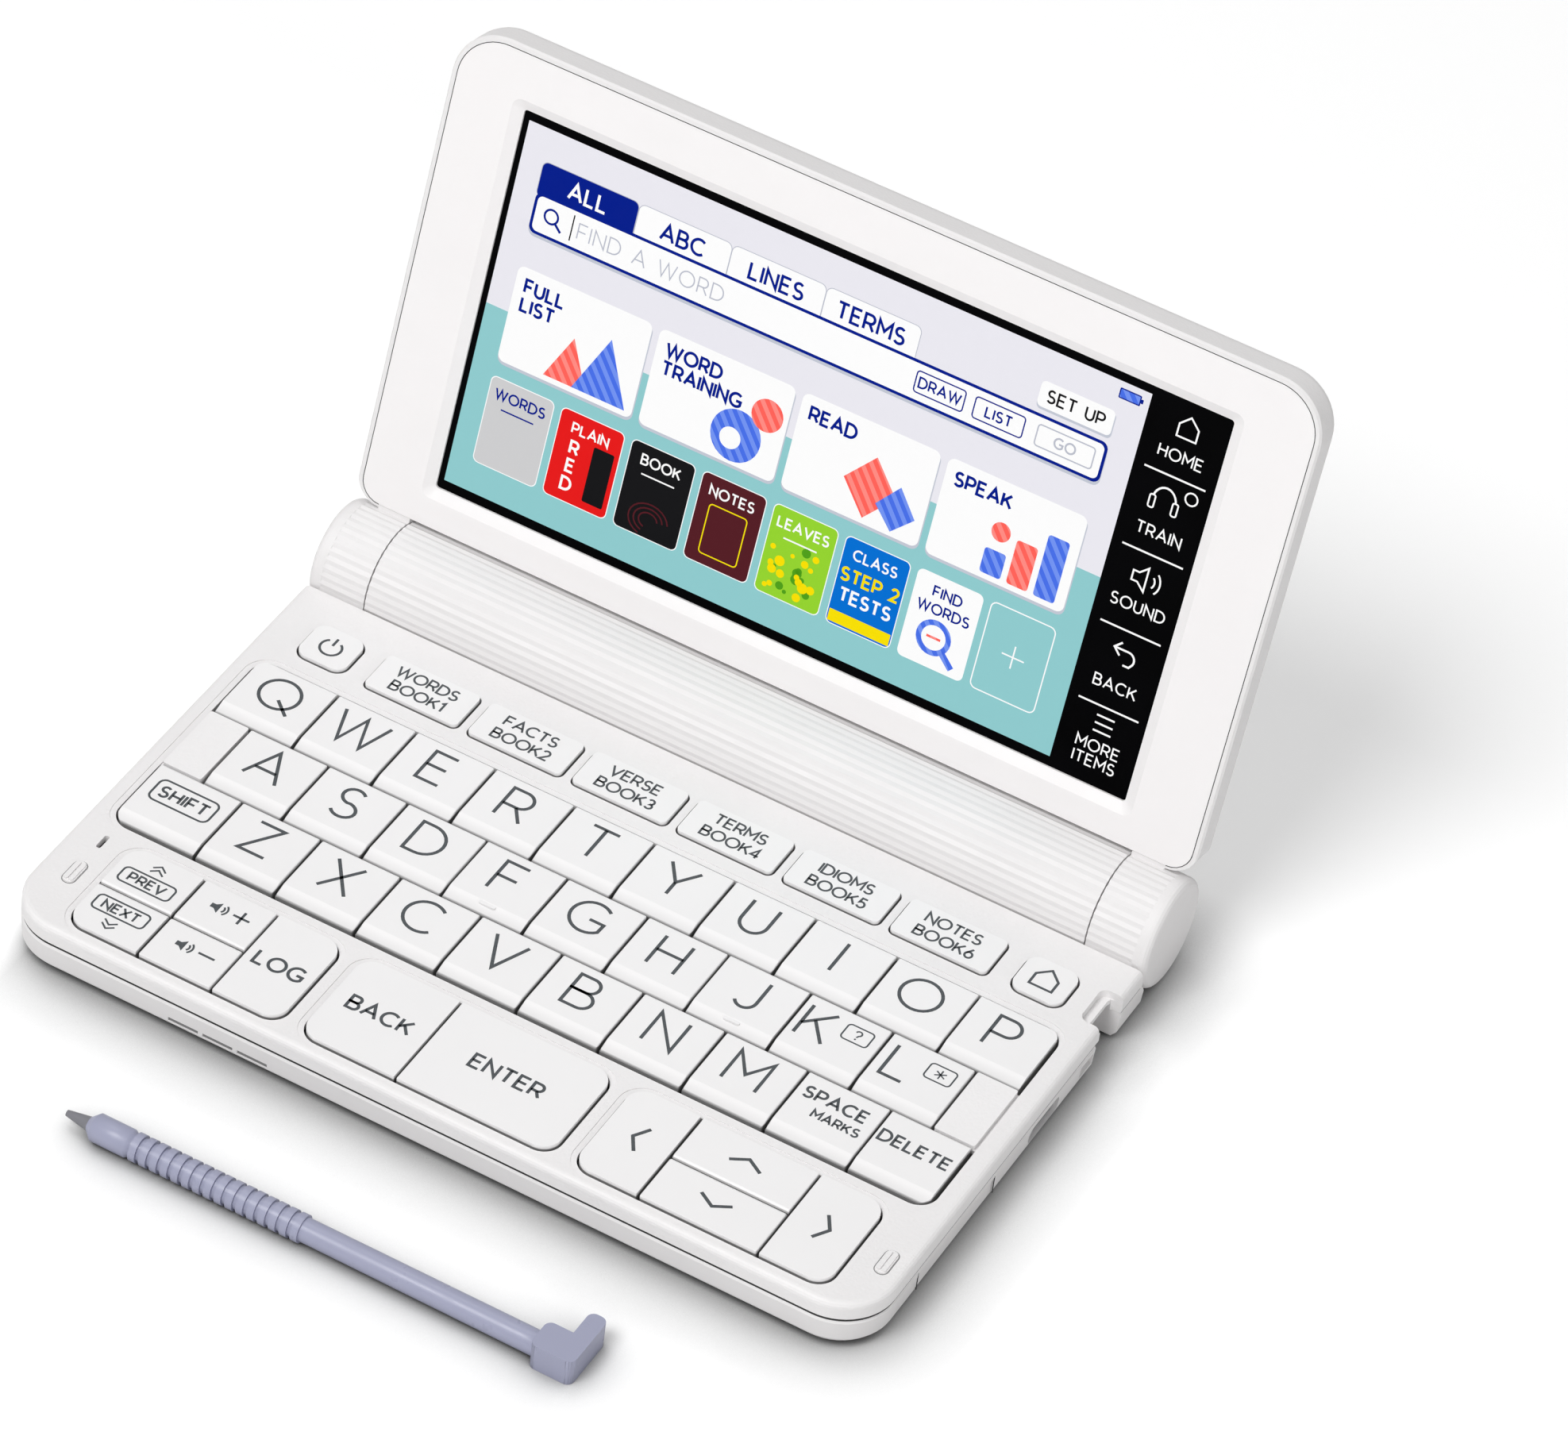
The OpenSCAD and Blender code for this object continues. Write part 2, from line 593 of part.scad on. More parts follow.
module lid_back_cover() {
  back_r = 2.2;
  low_edge = barrel_r + 0.2;
  color([0.93, 0.92, 0.92]) lid_place() {
    difference() {
      union() {
        stand_up() difference() {
          edge_slab(case_w, -lid_corner_r - 2, lid_top, lid_corner_r,
            concat([[0.3, 0], [0, 0.4]], round_up(back_r, lid_t)));
          // recess for the bezel
          translate([0, 0, -1]) linear_extrude(bezel_t + 1) lid_outline(rim_w, lid_bottom);
          // round lower corners beside the knuckles
          for (s = [0, 1]) mirror([s, 0, 0]) translate([half_w - lid_low_r, low_edge, -1]) difference() {
            translate([0, -big / 2, 0]) cube([big, big / 2 + lid_low_r, big / 10]);
            translate([0, lid_low_r, 0]) cylinder(r = lid_low_r, h = big / 10);
          }
          // room for the display
          plate(-half_w + 2.6, half_w - 2.6, lid_bottom + 1.5, lid_top - 2.6, 5, -1, lid_t - 1.4);
        }
        for (s = [-1, 1]) knuckle(s);
      }
      // middle part of the lid's lower edge clears the barrel
      translate([-knuckle_in, -big / 2, -big / 2]) cube([2 * knuckle_in, big, big / 2 + lid_bottom]);
      for (s = [-1, 1]) translate([s > 0 ? knuckle_in - 1 : -knuckle_in - 5, 0, 0]) rotate([0, 90, 0])
        cylinder(r = pin_r, h = 6);
      // nothing of the plate hangs below the knuckles
      for (s = [-1, 1]) translate([s > 0 ? half_mid : -big / 2 - half_mid, 0, -big / 4]) difference() {
        translate([0, 0, -big / 4]) cube([big / 2, big, big / 2]);
        translate([-1, 0, big / 4]) rotate([0, 90, 0]) cylinder(r = barrel_r - 0.01, h = big);
      }
    }
  }
}

module knuckle(s) {
  ribs_l = knuckle_l - rim_band;
  mirror([s < 0 ? 1 : 0, 0, 0]) {
    translate([knuckle_in, 0, 0]) rotate([0, 90, 0]) linear_extrude(ribs_l + 0.2) ribbed_outline();
    translate([half_w - rim_band, 0, 0]) rotate([0, 90, 0]) rotate_extrude()
      polygon(concat([[0, 0], [barrel_r - 0.05, 0]],
        [for (k = [0:4]) [barrel_r - 0.05 - 1.2 * (1 - cos(22.5 * k)), rim_band - 1.2 + 1.2 * sin(22.5 * k)]],
        [[0, rim_band]]));
  }
}

module lid_bezel() {
  seam = 0.12;
  drop = 0.9;
  color([0.95, 0.94, 0.94]) lid_place() stand_up() difference() {
    linear_extrude(bezel_t) lid_outline(rim_w + seam, lid_bottom + 0.05);
    plate(glass_left, glass_right, glass_low, glass_high, 0.6, -1, bezel_t + 1);
    // slope from the face down to the glass
    hull() {
      plate(glass_left, glass_right, glass_low, glass_high, 0.6, drop, drop + 0.01);
      plate(glass_left - slope_w, glass_right + slope_w, glass_low - slope_w, glass_high + slope_w,
        1.6, -0.02, -0.01);
    }
  }
}

module touch_panel() {
  color([0.05, 0.05, 0.06]) lid_place() stand_up()
    plate(glass_left - 2.2, glass_right + 2.2, glass_low - 2.2, glass_high + 2.2, 1,
      bezel_t, bezel_t + glass_t);
}

module display_panel() {
  color([0.58, 0.80, 0.81]) lid_place() stand_up()
    plate(glass_left - 1.4, glass_right + 1.4, glass_low - 1.4, glass_high + 1.4, 0.8,
      bezel_t + glass_t, bezel_t + glass_t + display_t);
}

module hinge_pins() {
  color([0.7, 0.7, 0.72]) lid_place() for (s = [-1, 1])
    translate([s > 0 ? half_mid - 2.6 : -knuckle_in - 4.9, 0, 0]) rotate([0, 90, 0])
      cylinder(r = pin_r, h = knuckle_in + 4.9 - half_mid + 2.6);
}

// ---------------------------------------------------------------- stylus
module stylus() {
  tip_l = 4;
  collar_l = 7.5;
  tip_x = tip_side - half_w;
  ring_pitch = grip_l / ring_count;
  color([0.67, 0.68, 0.81]) ship() translate([tip_x, -stylus_out, ring_r]) {
    rotate([0, 90, 0]) {
      rotate_extrude() polygon([[0, 0], [0.5, 0.1], [1.15, tip_l], [ring_r, tip_l + 1.2],
        [ring_r, tip_l + collar_l - 0.6], [stylus_r - 0.15, tip_l + collar_l], [stylus_r, stylus_l + 1],
        [0, stylus_l + 1]]);
      for (k = [0:ring_count - 1]) translate([0, 0, tip_l + collar_l + (k + 0.2) * ring_pitch])
        cylinder(r = ring_r, h = ring_pitch * 0.62);
    }
    // angled head with a flange for the fingertip
    translate([stylus_l, -head_w / 2, -ring_r]) plate(0, head_l, 0, head_w, 1.2, 0, head_h);
    translate([stylus_l + head_l - flange_l, -head_w / 2, -ring_r])
      plate(0, flange_l, 0, flange_w, 1.2, 0, head_h);
  }
}

// ---------------------------------------------------------------- keys
// letter keys have a flat top and a sloped strip at the front
module letter_cap(x0, x1, y0) {
  g = key_gap / 2;
  y1 = y0 + pitch_y;
  flank = key_top - slope_drop;
  color([0.96, 0.95, 0.95]) ship() intersection() {
    translate([x0 + g, 0, 0]) rotate([90, 0, 90]) linear_extrude(x1 - x0 - 2 * g)
      polygon([[y0 + g, key_bottom], [y1 - g, key_bottom], [y1 - g, key_top - 0.2], [y1 - g - 0.3, key_top],
        [y0 + g + slope_d, key_top], [y0 + g, flank]]);
    plate(letters_l, letters_r, letters_y, letters_y + letters_d, block_r, 0, big / 10);
  }
}

module homing_bar(x0, row) {
  color([0.96, 0.95, 0.95]) ship()
    plate(x0 + pitch_x / 2 - 1.4, x0 + pitch_x / 2 + 1.4, letters_y + row * pitch_y + slope_d - 0.7,
      letters_y + row * pitch_y + slope_d - 0.1, 0.28, key_top - 1, key_top + 0.12);
}

// the k-th key of a row, counted from the left
module top_key(k)
  letter_cap(letters_l + k * pitch_x, letters_l + (k + 1) * pitch_x, letters_y + 2 * pitch_y);
module mid_key(k) {
  x0 = letters_l + row_shift + k * pitch_x;
  letter_cap(x0, x0 + pitch_x, letters_y + pitch_y);
  if (k == 3 || k == 6) homing_bar(x0, 1);
}
module low_key(k)
  letter_cap(letters_l + (k == 0 ? 0 : k * pitch_x + low_shift),
    letters_l + (k + 1) * pitch_x + (k == 9 ? 0 : low_shift), letters_y);

// flat cap cut from a rounded block
module block_cap(block, y0, y1, r, bottom, cut) {
  bevel = 0.35;
  g = key_gap / 2;
  color([0.96, 0.95, 0.95]) ship() intersection() {
    plate(block[0], block[1], y0, y1, r, bottom, key_top);
    translate([cut[0] + g, cut[2] + g, 0]) cube([cut[1] - cut[0] - 2 * g, cut[3] - cut[2] - 2 * g, big / 10]);
    translate([0, 0, key_top - 4]) rotate([90, 0, 90]) translate([0, 0, -big / 2]) linear_extrude(big)
      polygon([[cut[2], -8], [cut[3], -8], [cut[3], 4 - bevel], [cut[3] - bevel - g, 4],
        [cut[2] + bevel + g, 4], [cut[2], 4 - bevel]]);
  }
}

nav_y1 = front_y + front_d;
module nav_cap(block, x0, x1, y0, y1)
  block_cap(block, front_y, nav_y1, block_r, key_bottom, [x0, x1, y0, y1]);
module func_cap(x, r = 0.9)
  block_cap(x, func_y, func_y + func_d, r, func_bottom,
    [x[0] - 1, x[1] + 1, func_y - 1, func_y + func_d + 1]);

nl_a = nav_left[0] - 1;
nl_b = nav_left[0] + paging_w;
nl_c = nl_b + volume_w;
nl_d = nav_left[1] + 1;
nm_b = nav_mid[0] + back_w;
nr_b = nav_right[0] + left_w;
nr_c = nr_b + updown_w;

upper_case();
lower_case();
barrel_shell();
battery_cover();
batteries();
battery_contacts();
circuit_board();
key_mat();
card_slot_cover();
rubber_feet();
screws();
lid_back_cover();
lid_bezel();
display_panel();
touch_panel();
hinge_pins();
stylus();
top_key(0);  // key_q
top_key(1);  // key_w
top_key(2);  // key_e
top_key(3);  // key_r
top_key(4);  // key_t
top_key(5);  // key_y
top_key(6);  // key_u
top_key(7);  // key_i
top_key(8);  // key_o
top_key(9);  // key_p
mid_key(0);  // key_a
mid_key(1);  // key_s
mid_key(2);  // key_d
mid_key(3);  // key_f
mid_key(4);  // key_g
mid_key(5);  // key_h
mid_key(6);  // key_j
mid_key(7);  // key_k
mid_key(8);  // key_l
low_key(0);  // shift_key
low_key(1);  // key_z
low_key(2);  // key_x
low_key(3);  // key_c
low_key(4);  // key_v
low_key(5);  // key_b
low_key(6);  // key_n
low_key(7);  // key_m
low_key(8);  // space_key
low_key(9);  // delete_key
func_cap(power_x, 2);  // power_key
func_cap(home_x, 2);  // home_key
for (x = func_xs) func_cap(x);  // dictionary_keys
nav_cap(nav_left, nl_a, nl_b, nav_half, nav_y1 + 1);  // previous_key
nav_cap(nav_left, nl_a, nl_b, front_y - 1, nav_half);  // next_key
nav_cap(nav_left, nl_b, nl_c, nav_half, nav_y1 + 1);  // volume_up_key
nav_cap(nav_left, nl_b, nl_c, front_y - 1, nav_half);  // volume_down_key
nav_cap(nav_left, nl_c, nl_d, front_y - 1, nav_y1 + 1);  // history_key
nav_cap(nav_mid, nav_mid[0] - 1, nm_b, front_y - 1, nav_y1 + 1);  // back_key
nav_cap(nav_mid, nm_b, nav_mid[1] + 1, front_y - 1, nav_y1 + 1);  // enter_key
nav_cap(nav_right, nav_right[0] - 1, nr_b, front_y - 1, nav_y1 + 1);  // left_key
nav_cap(nav_right, nr_b, nr_c, nav_half, nav_y1 + 1);  // up_key
nav_cap(nav_right, nr_b, nr_c, front_y - 1, nav_half);  // down_key
nav_cap(nav_right, nr_c, nav_right[1] + 1, front_y - 1, nav_y1 + 1);  // right_key
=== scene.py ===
"""Looks of the electronic dictionary: finishes, key legends, the lit screen, floor, lights and camera."""
import json
import math
import random

import bmesh
import bpy
from mathutils import Matrix, Vector


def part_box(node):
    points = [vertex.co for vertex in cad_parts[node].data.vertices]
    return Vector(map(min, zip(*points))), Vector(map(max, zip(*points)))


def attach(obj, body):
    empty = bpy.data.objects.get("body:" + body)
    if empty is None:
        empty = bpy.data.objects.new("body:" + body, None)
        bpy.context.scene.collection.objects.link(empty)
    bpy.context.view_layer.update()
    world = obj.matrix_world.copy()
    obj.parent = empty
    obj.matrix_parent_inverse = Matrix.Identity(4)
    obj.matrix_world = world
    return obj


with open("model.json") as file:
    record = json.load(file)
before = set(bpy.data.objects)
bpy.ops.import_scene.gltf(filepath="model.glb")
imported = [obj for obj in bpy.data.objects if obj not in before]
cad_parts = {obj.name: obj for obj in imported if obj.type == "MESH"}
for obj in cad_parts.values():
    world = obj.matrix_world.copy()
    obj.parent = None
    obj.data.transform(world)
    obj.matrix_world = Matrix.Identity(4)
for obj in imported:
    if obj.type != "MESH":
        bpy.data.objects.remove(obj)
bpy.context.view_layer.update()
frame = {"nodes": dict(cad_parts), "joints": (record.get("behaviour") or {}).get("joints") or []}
NODES = frame["nodes"]

MM = 0.001

# ---------------------------------------------------------------- places taken from the frame
FRONT_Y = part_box("upper_case")[0].y
HALF_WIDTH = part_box("lower_case")[1].x / MM
KEY_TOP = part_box("key_g")[1].z
HINGE = [j for j in frame["joints"] if j["name"] == "lid_hinge"][0]
AXIS = Vector(HINGE["pos_m"])
LID_LEAN = math.radians(15)
LID_UP = Vector((0, math.sin(LID_LEAN), math.cos(LID_LEAN)))
LID_FRONT = Vector((0, -math.cos(LID_LEAN), math.sin(LID_LEAN)))
# from the hinge axis back to the lid's face
FACE_BACK = 1.2 * MM

# ---------------------------------------------------------------- colours, linear
INK = (0.055, 0.062, 0.068)
NAVY = (0.0, 0.012, 0.26)
LAVENDER = (0.83, 0.82, 0.88)
TEAL = (0.28, 0.60, 0.62)
WHITE = (0.95, 0.95, 0.95)
CORAL = (1.0, 0.125, 0.10)
CORAL_PALE = (1.0, 0.26, 0.23)
BLUE = (0.065, 0.16, 0.80)
BLUE_PALE = (0.17, 0.29, 0.88)
GREY_TEXT = (0.50, 0.52, 0.60)
STYLUS_TINT = (0.345, 0.355, 0.475)
STYLUS_TIP_TINT = (0.20, 0.20, 0.22)
BOARD_GREEN = (0.02, 0.12, 0.05)
PORT_METAL = (0.42, 0.42, 0.43)
GLASS_BLACK = (0.0008, 0.0008, 0.001)
GLASS_GLINT = (0.0015, 0.0015, 0.002)


# ---------------------------------------------------------------- shader nodes
def new_material(name):
    m = bpy.data.materials.new(name)
    m.use_nodes = True
    return m, m.node_tree, m.node_tree.nodes["Principled BSDF"]


def node(tree, kind, **values):
    n = tree.nodes.new(kind)
    for key, value in values.items():
        n.inputs[key.replace("_", " ")].default_value = value
    return n


def object_coords(tree):
    return tree.nodes.new("ShaderNodeTexCoord").outputs["Object"]


def noise(tree, coords, scale, detail=2.0, rough=0.5):
    n = node(tree, "ShaderNodeTexNoise", Scale=scale, Detail=detail, Roughness=rough)
    tree.links.new(coords, n.inputs["Vector"])
    return n.outputs["Fac"]


def ramp(tree, fac, low, high, a=0.3, b=0.7):
    r = tree.nodes.new("ShaderNodeValToRGB")
    r.color_ramp.elements[0].position = a
    r.color_ramp.elements[1].position = b
    r.color_ramp.elements[0].color = (*low, 1)
    r.color_ramp.elements[1].color = (*high, 1)
    tree.links.new(fac, r.inputs["Fac"])
    return r.outputs["Color"]


def bump(tree, shader, height, strength, distance):
    b = node(tree, "ShaderNodeBump", Strength=strength, Distance=distance)
    tree.links.new(height, b.inputs["Height"])
    tree.links.new(b.outputs["Normal"], shader.inputs["Normal"])


def maths(tree, operation, *terms):
    """A sum on numbers or on the outputs of other nodes."""
    n = tree.nodes.new("ShaderNodeMath")
    n.operation = operation
    for k, term in enumerate(terms):
        if isinstance(term, (int, float)):
            n.inputs[k].default_value = term
        else:
            tree.links.new(term, n.inputs[k])
    return n.outputs[0]


def along(tree, axis, coords):
    """One coordinate of a point."""
    split = tree.nodes.new("ShaderNodeSeparateXYZ")
    tree.links.new(coords, split.inputs["Vector"])
    return split.outputs[axis]


def from_to(tree, value, start, end):
    """Goes from 0 to 1 while the value goes from start to end."""
    spread = node(tree, "ShaderNodeMapRange", From_Min=start, From_Max=end)
    tree.links.new(value, spread.inputs["Value"])
    return spread.outputs["Result"]


def multiply(tree, first, second):
    """The product of two colours; the second may be a plain colour."""
    mix = tree.nodes.new("ShaderNodeMixRGB")
    mix.blend_type = "MULTIPLY"
    mix.inputs[0].default_value = 1
    tree.links.new(first, mix.inputs[1])
    if isinstance(second, tuple):
        mix.inputs[2].default_value = second
    else:
        tree.links.new(second, mix.inputs[2])
    return mix.outputs[0]


# ---------------------------------------------------------------- materials
# sizes of the noise: larger numbers are finer
DRIFT_SCALE = 60
GLOSS_SCALE = 400
GLOSS_SPREAD = 0.06
PLASTIC_SPECULAR = 0.4
SPECKLE_SCALE = 5000
INK_ROUGH = 0.55
DOT_SCALE = 9000
DOT_DIM = 0.985
LCD_SOAK = (0.3, 0.3, 0.3, 1)
LCD_ROUGH = 0.35
LCD_SPECULAR = 0.04
GLASS_SPECULAR = 0.02


def plastic(name, colour, rough=0.45, grain=2600, depth=0.00004, vary=0.03, strength=0.35, cells=False):
    """Moulded plastic: slight tone drift, fine grain bump and uneven gloss."""
    m, tree, shader = new_material(name)
    coords = object_coords(tree)
    dark = tuple(c * (1 - vary) for c in colour)
    drift = ramp(tree, noise(tree, coords, DRIFT_SCALE, 3), dark, colour)
    tree.links.new(drift, shader.inputs["Base Color"])
    smooth, dull = (rough - GLOSS_SPREAD,) * 3, (rough + GLOSS_SPREAD,) * 3
    tree.links.new(ramp(tree, noise(tree, coords, GLOSS_SCALE), smooth, dull), shader.inputs["Roughness"])
    if cells:
        v = node(tree, "ShaderNodeTexVoronoi", Scale=grain)
        v.feature = "SMOOTH_F1"
        tree.links.new(coords, v.inputs["Vector"])
        height = v.outputs["Distance"]
    else:
        height = noise(tree, coords, grain)
    bump(tree, shader, height, strength, depth)
    shader.inputs["Specular IOR Level"].default_value = PLASTIC_SPECULAR
    return m


def ink(name, colour):
    """Printed ink with a faint speckle."""
    m, tree, shader = new_material(name)
    pale = tuple(min(1, c * 1.25 + 0.01) for c in colour)
    speckle = noise(tree, object_coords(tree), SPECKLE_SCALE, 1)
    tree.links.new(ramp(tree, speckle, colour, pale), shader.inputs["Base Color"])
    shader.inputs["Roughness"].default_value = INK_ROUGH
    return m


def lit(name, colour, stripes=None, angle=0.7, pitch=1.5, glow=0.68):
    """A lit patch of the display with its fine dot grid, or with diagonal stripes of two colours."""
    m, tree, shader = new_material(name)
    coords = object_coords(tree)
    if stripes:
        turn = node(tree, "ShaderNodeVectorRotate", Angle=angle)
        turn.rotation_type = "Y_AXIS"
        tree.links.new(coords, turn.inputs["Vector"])
        count = maths(tree, "DIVIDE", along(tree, "X", turn.outputs["Vector"]), pitch * MM)
        shown = ramp(tree, maths(tree, "FRACT", count), colour, stripes, 0.49, 0.51)
    else:
        grid = node(tree, "ShaderNodeTexChecker", Scale=DOT_SCALE)
        tree.links.new(coords, grid.inputs["Vector"])
        grid.inputs["Color1"].default_value = (*colour, 1)
        grid.inputs["Color2"].default_value = (*(c * DOT_DIM for c in colour), 1)
        shown = grid.outputs["Color"]
    tree.links.new(multiply(tree, shown, LCD_SOAK), shader.inputs["Base Color"])
    tree.links.new(shown, shader.inputs["Emission Color"])
    shader.inputs["Emission Strength"].default_value = glow
    shader.inputs["Roughness"].default_value = LCD_ROUGH
    shader.inputs["Specular IOR Level"].default_value = LCD_SPECULAR
    return m


def black_glass():
    m, tree, shader = new_material("black_glass")
    coords = object_coords(tree)
    tree.links.new(ramp(tree, noise(tree, coords, 90), GLASS_BLACK, GLASS_GLINT), shader.inputs["Base Color"])
    tree.links.new(ramp(tree, noise(tree, coords, 250), (0.10,) * 3, (0.16,) * 3), shader.inputs["Roughness"])
    shader.inputs["Specular IOR Level"].default_value = GLASS_SPECULAR
    return m


def metal(name, colour, rough):
    m, tree, shader = new_material(name)
    coords = object_coords(tree)
    pale = tuple(min(1, c * 1.1) for c in colour)
    tree.links.new(ramp(tree, noise(tree, coords, 1500), colour, pale), shader.inputs["Base Color"])
    shader.inputs["Metallic"].default_value = 1
    gloss = ramp(tree, noise(tree, coords, 3000), (rough,) * 3, (rough + 0.12,) * 3)
    tree.links.new(gloss, shader.inputs["Roughness"])
    return m


def split_by_x(m, limit, low_colour, high_colour):
    """Colours a material by where it is along X: low_colour before the limit, high_colour after it."""
    tree = m.node_tree
    above = maths(tree, "GREATER_THAN", along(tree, "X", object_coords(tree)), limit)
    colour = ramp(tree, above, low_colour, high_colour, 0.4, 0.6)
    tree.links.new(colour, tree.nodes["Principled BSDF"].inputs["Base Color"])


def tone_by_height(m, low, high, low_tint):
    """Darkens a material by a tint at the low height; the tint fades out up to the high one."""
    tree = m.node_tree
    colour = tree.nodes["Principled BSDF"].inputs["Base Color"]
    rise = from_to(tree, along(tree, "Z", object_coords(tree)), low, high)
    tint = ramp(tree, rise, (low_tint,) * 3, (1.0,) * 3, 0, 1)
    tree.links.new(multiply(tree, colour.links[0].from_socket, tint), colour)


CASE = plastic("case_plastic", (0.80, 0.785, 0.785), 0.5, 3800, 0.00002, 0.02, 0.3)
DECK = plastic("deck_grain", (0.87, 0.855, 0.855), 0.52, 2300, 0.00008, 0.025, 0.6, cells=True)
LID_BACK = plastic("lid_grain", (0.81, 0.795, 0.795), 0.5, 2300, 0.00005, 0.025, 0.5, cells=True)
BEZEL = plastic("bezel_plastic", (0.89, 0.87, 0.87), 0.38, 1500, 0.00001, 0.015, 0.15)
KEYS = plastic("key_plastic", (0.87, 0.86, 0.86), 0.42, 3000, 0.00001, 0.015, 0.2)
LAVENDER_PLASTIC = plastic("stylus_plastic", STYLUS_TINT, 0.33, 1800, 0.00003, 0.06, 0.25)
RUBBER = plastic("foot_rubber", (0.62, 0.61, 0.60), 0.85, 1600, 0.00008, 0.08, 0.6)
# the rubber key mat is near black so that it paints the shade in the gaps between the keys
MAT_AND_GAP_SHADE = plastic("mat_rubber", (0.10, 0.10, 0.10), 0.7, 900, 0.00005, 0.05, 0.4)
SLEEVE = plastic("battery_sleeve", (0.05, 0.15, 0.35), 0.3, 700, 0.00002, 0.08, 0.2)
BOARD = plastic("board_mask", BOARD_GREEN, 0.4, 900, 0.00005, 0.2, 0.4)
STEEL = metal("screw_steel", (0.45, 0.45, 0.47), 0.3)
DISPLAY = plastic("display_module", (0.10, 0.11, 0.11), 0.5, 500, 0.00002, 0.1, 0.2)
GLASS = black_glass()
PRINT = ink("legend_ink", INK)
# near-black painted shade in the seams and gaps between parts
GAP_SHADE = plastic("seam_painted_shade", (0.03, 0.03, 0.03), 0.7, 1800, 0.00002, 0.1, 0.2)
# grey: painted shade round the lid bumpers, and the speaker cloth
BUMPER_SHADE_AND_CLOTH = plastic("bumper_shade_and_cloth_grey", (0.22, 0.22, 0.22), 0.7, 1800, 0.00002, 0.1, 0.2)

# every node that isn't named here is a key
FINISHES = dict(
    upper_case=DECK, lower_case=CASE, barrel_shell=CASE, battery_cover=CASE, card_slot_cover=CASE,
    lid_back_cover=LID_BACK, lid_bezel=BEZEL, touch_panel=GLASS, display_panel=DISPLAY, batteries=SLEEVE,
    battery_contacts=STEEL, screws=STEEL, hinge_pins=STEEL, rubber_feet=RUBBER, key_mat=MAT_AND_GAP_SHADE,
    circuit_board=BOARD, stylus=LAVENDER_PLASTIC)

# ---------------------------------------------------------------- finishes, painted shade and rounded edges of the nodes
WELD_REACH = 0.002 * MM
SHARP_EDGE = math.radians(35)
KEY_BEVEL = 0.22 * MM
HEAD_BEVEL = 0.7 * MM
HEAD_LENGTH = 8 * MM
TIP_LENGTH = 4 * MM
PORT_DEPTH = 11 * MM
# painted shade at the foot of the key slopes and in the gaps between them, and a slightly darker deck below the
# key tops:
# depth below the key tops where the tint is full, where it ends, and the tint
KEY_SHADES_AND_DECK_TONE = ((KEYS, 0.66, 0.14, 0.84), (KEYS, 0.67, 0.57, 0.3), (DECK, 0.16, 0.14, 0.96))


def soften(obj, width, segments=3):
    """Rounds the sharp edges of a node a little."""
    weld = obj.modifiers.new("weld", "WELD")
    weld.merge_threshold = WELD_REACH
    bevel = obj.modifiers.new("bevel", "BEVEL")
    bevel.width = width
    bevel.segments = segments
    bevel.limit_method = "ANGLE"
    bevel.angle_limit = SHARP_EDGE
    bevel.harden_normals = True
    bevel.use_clamp_overlap = True


def round_head(obj, from_x, width):
    """Rounds the edges of the stylus head only, by a group of its vertices."""
    group = obj.vertex_groups.new(name="head")
    head = [v.index for v in obj.data.vertices if (obj.matrix_world @ v.co).x > from_x]
    group.add(head, 1.0, "REPLACE")
    soften(obj, width, 4)
    obj.modifiers["bevel"].limit_method = "VGROUP"
    obj.modifiers["bevel"].vertex_group = "head"


for name, obj in NODES.items():
    obj.data.materials.clear()
    obj.data.materials.append(FINISHES.get(name, KEYS))
    if name not in FINISHES:
        soften(obj, KEY_BEVEL)
# paints the shade on the key slopes and in the key gaps, and darkens the deck below the key tops
for finish, deep, shallow, tint in KEY_SHADES_AND_DECK_TONE:
    tone_by_height(finish, KEY_TOP - deep * MM, KEY_TOP - shallow * MM, tint)
STYLUS_LOW, STYLUS_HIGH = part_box("stylus")
split_by_x(LAVENDER_PLASTIC, STYLUS_LOW.x + TIP_LENGTH, STYLUS_TIP_TINT, STYLUS_TINT)
round_head(NODES["stylus"], STYLUS_HIGH.x - HEAD_LENGTH, HEAD_BEVEL)
split_by_x(BOARD, HALF_WIDTH * MM - PORT_DEPTH, BOARD_GREEN, PORT_METAL)

# ---------------------------------------------------------------- flat shapes as thin closed solids
MITRE_LIMIT = 0.35


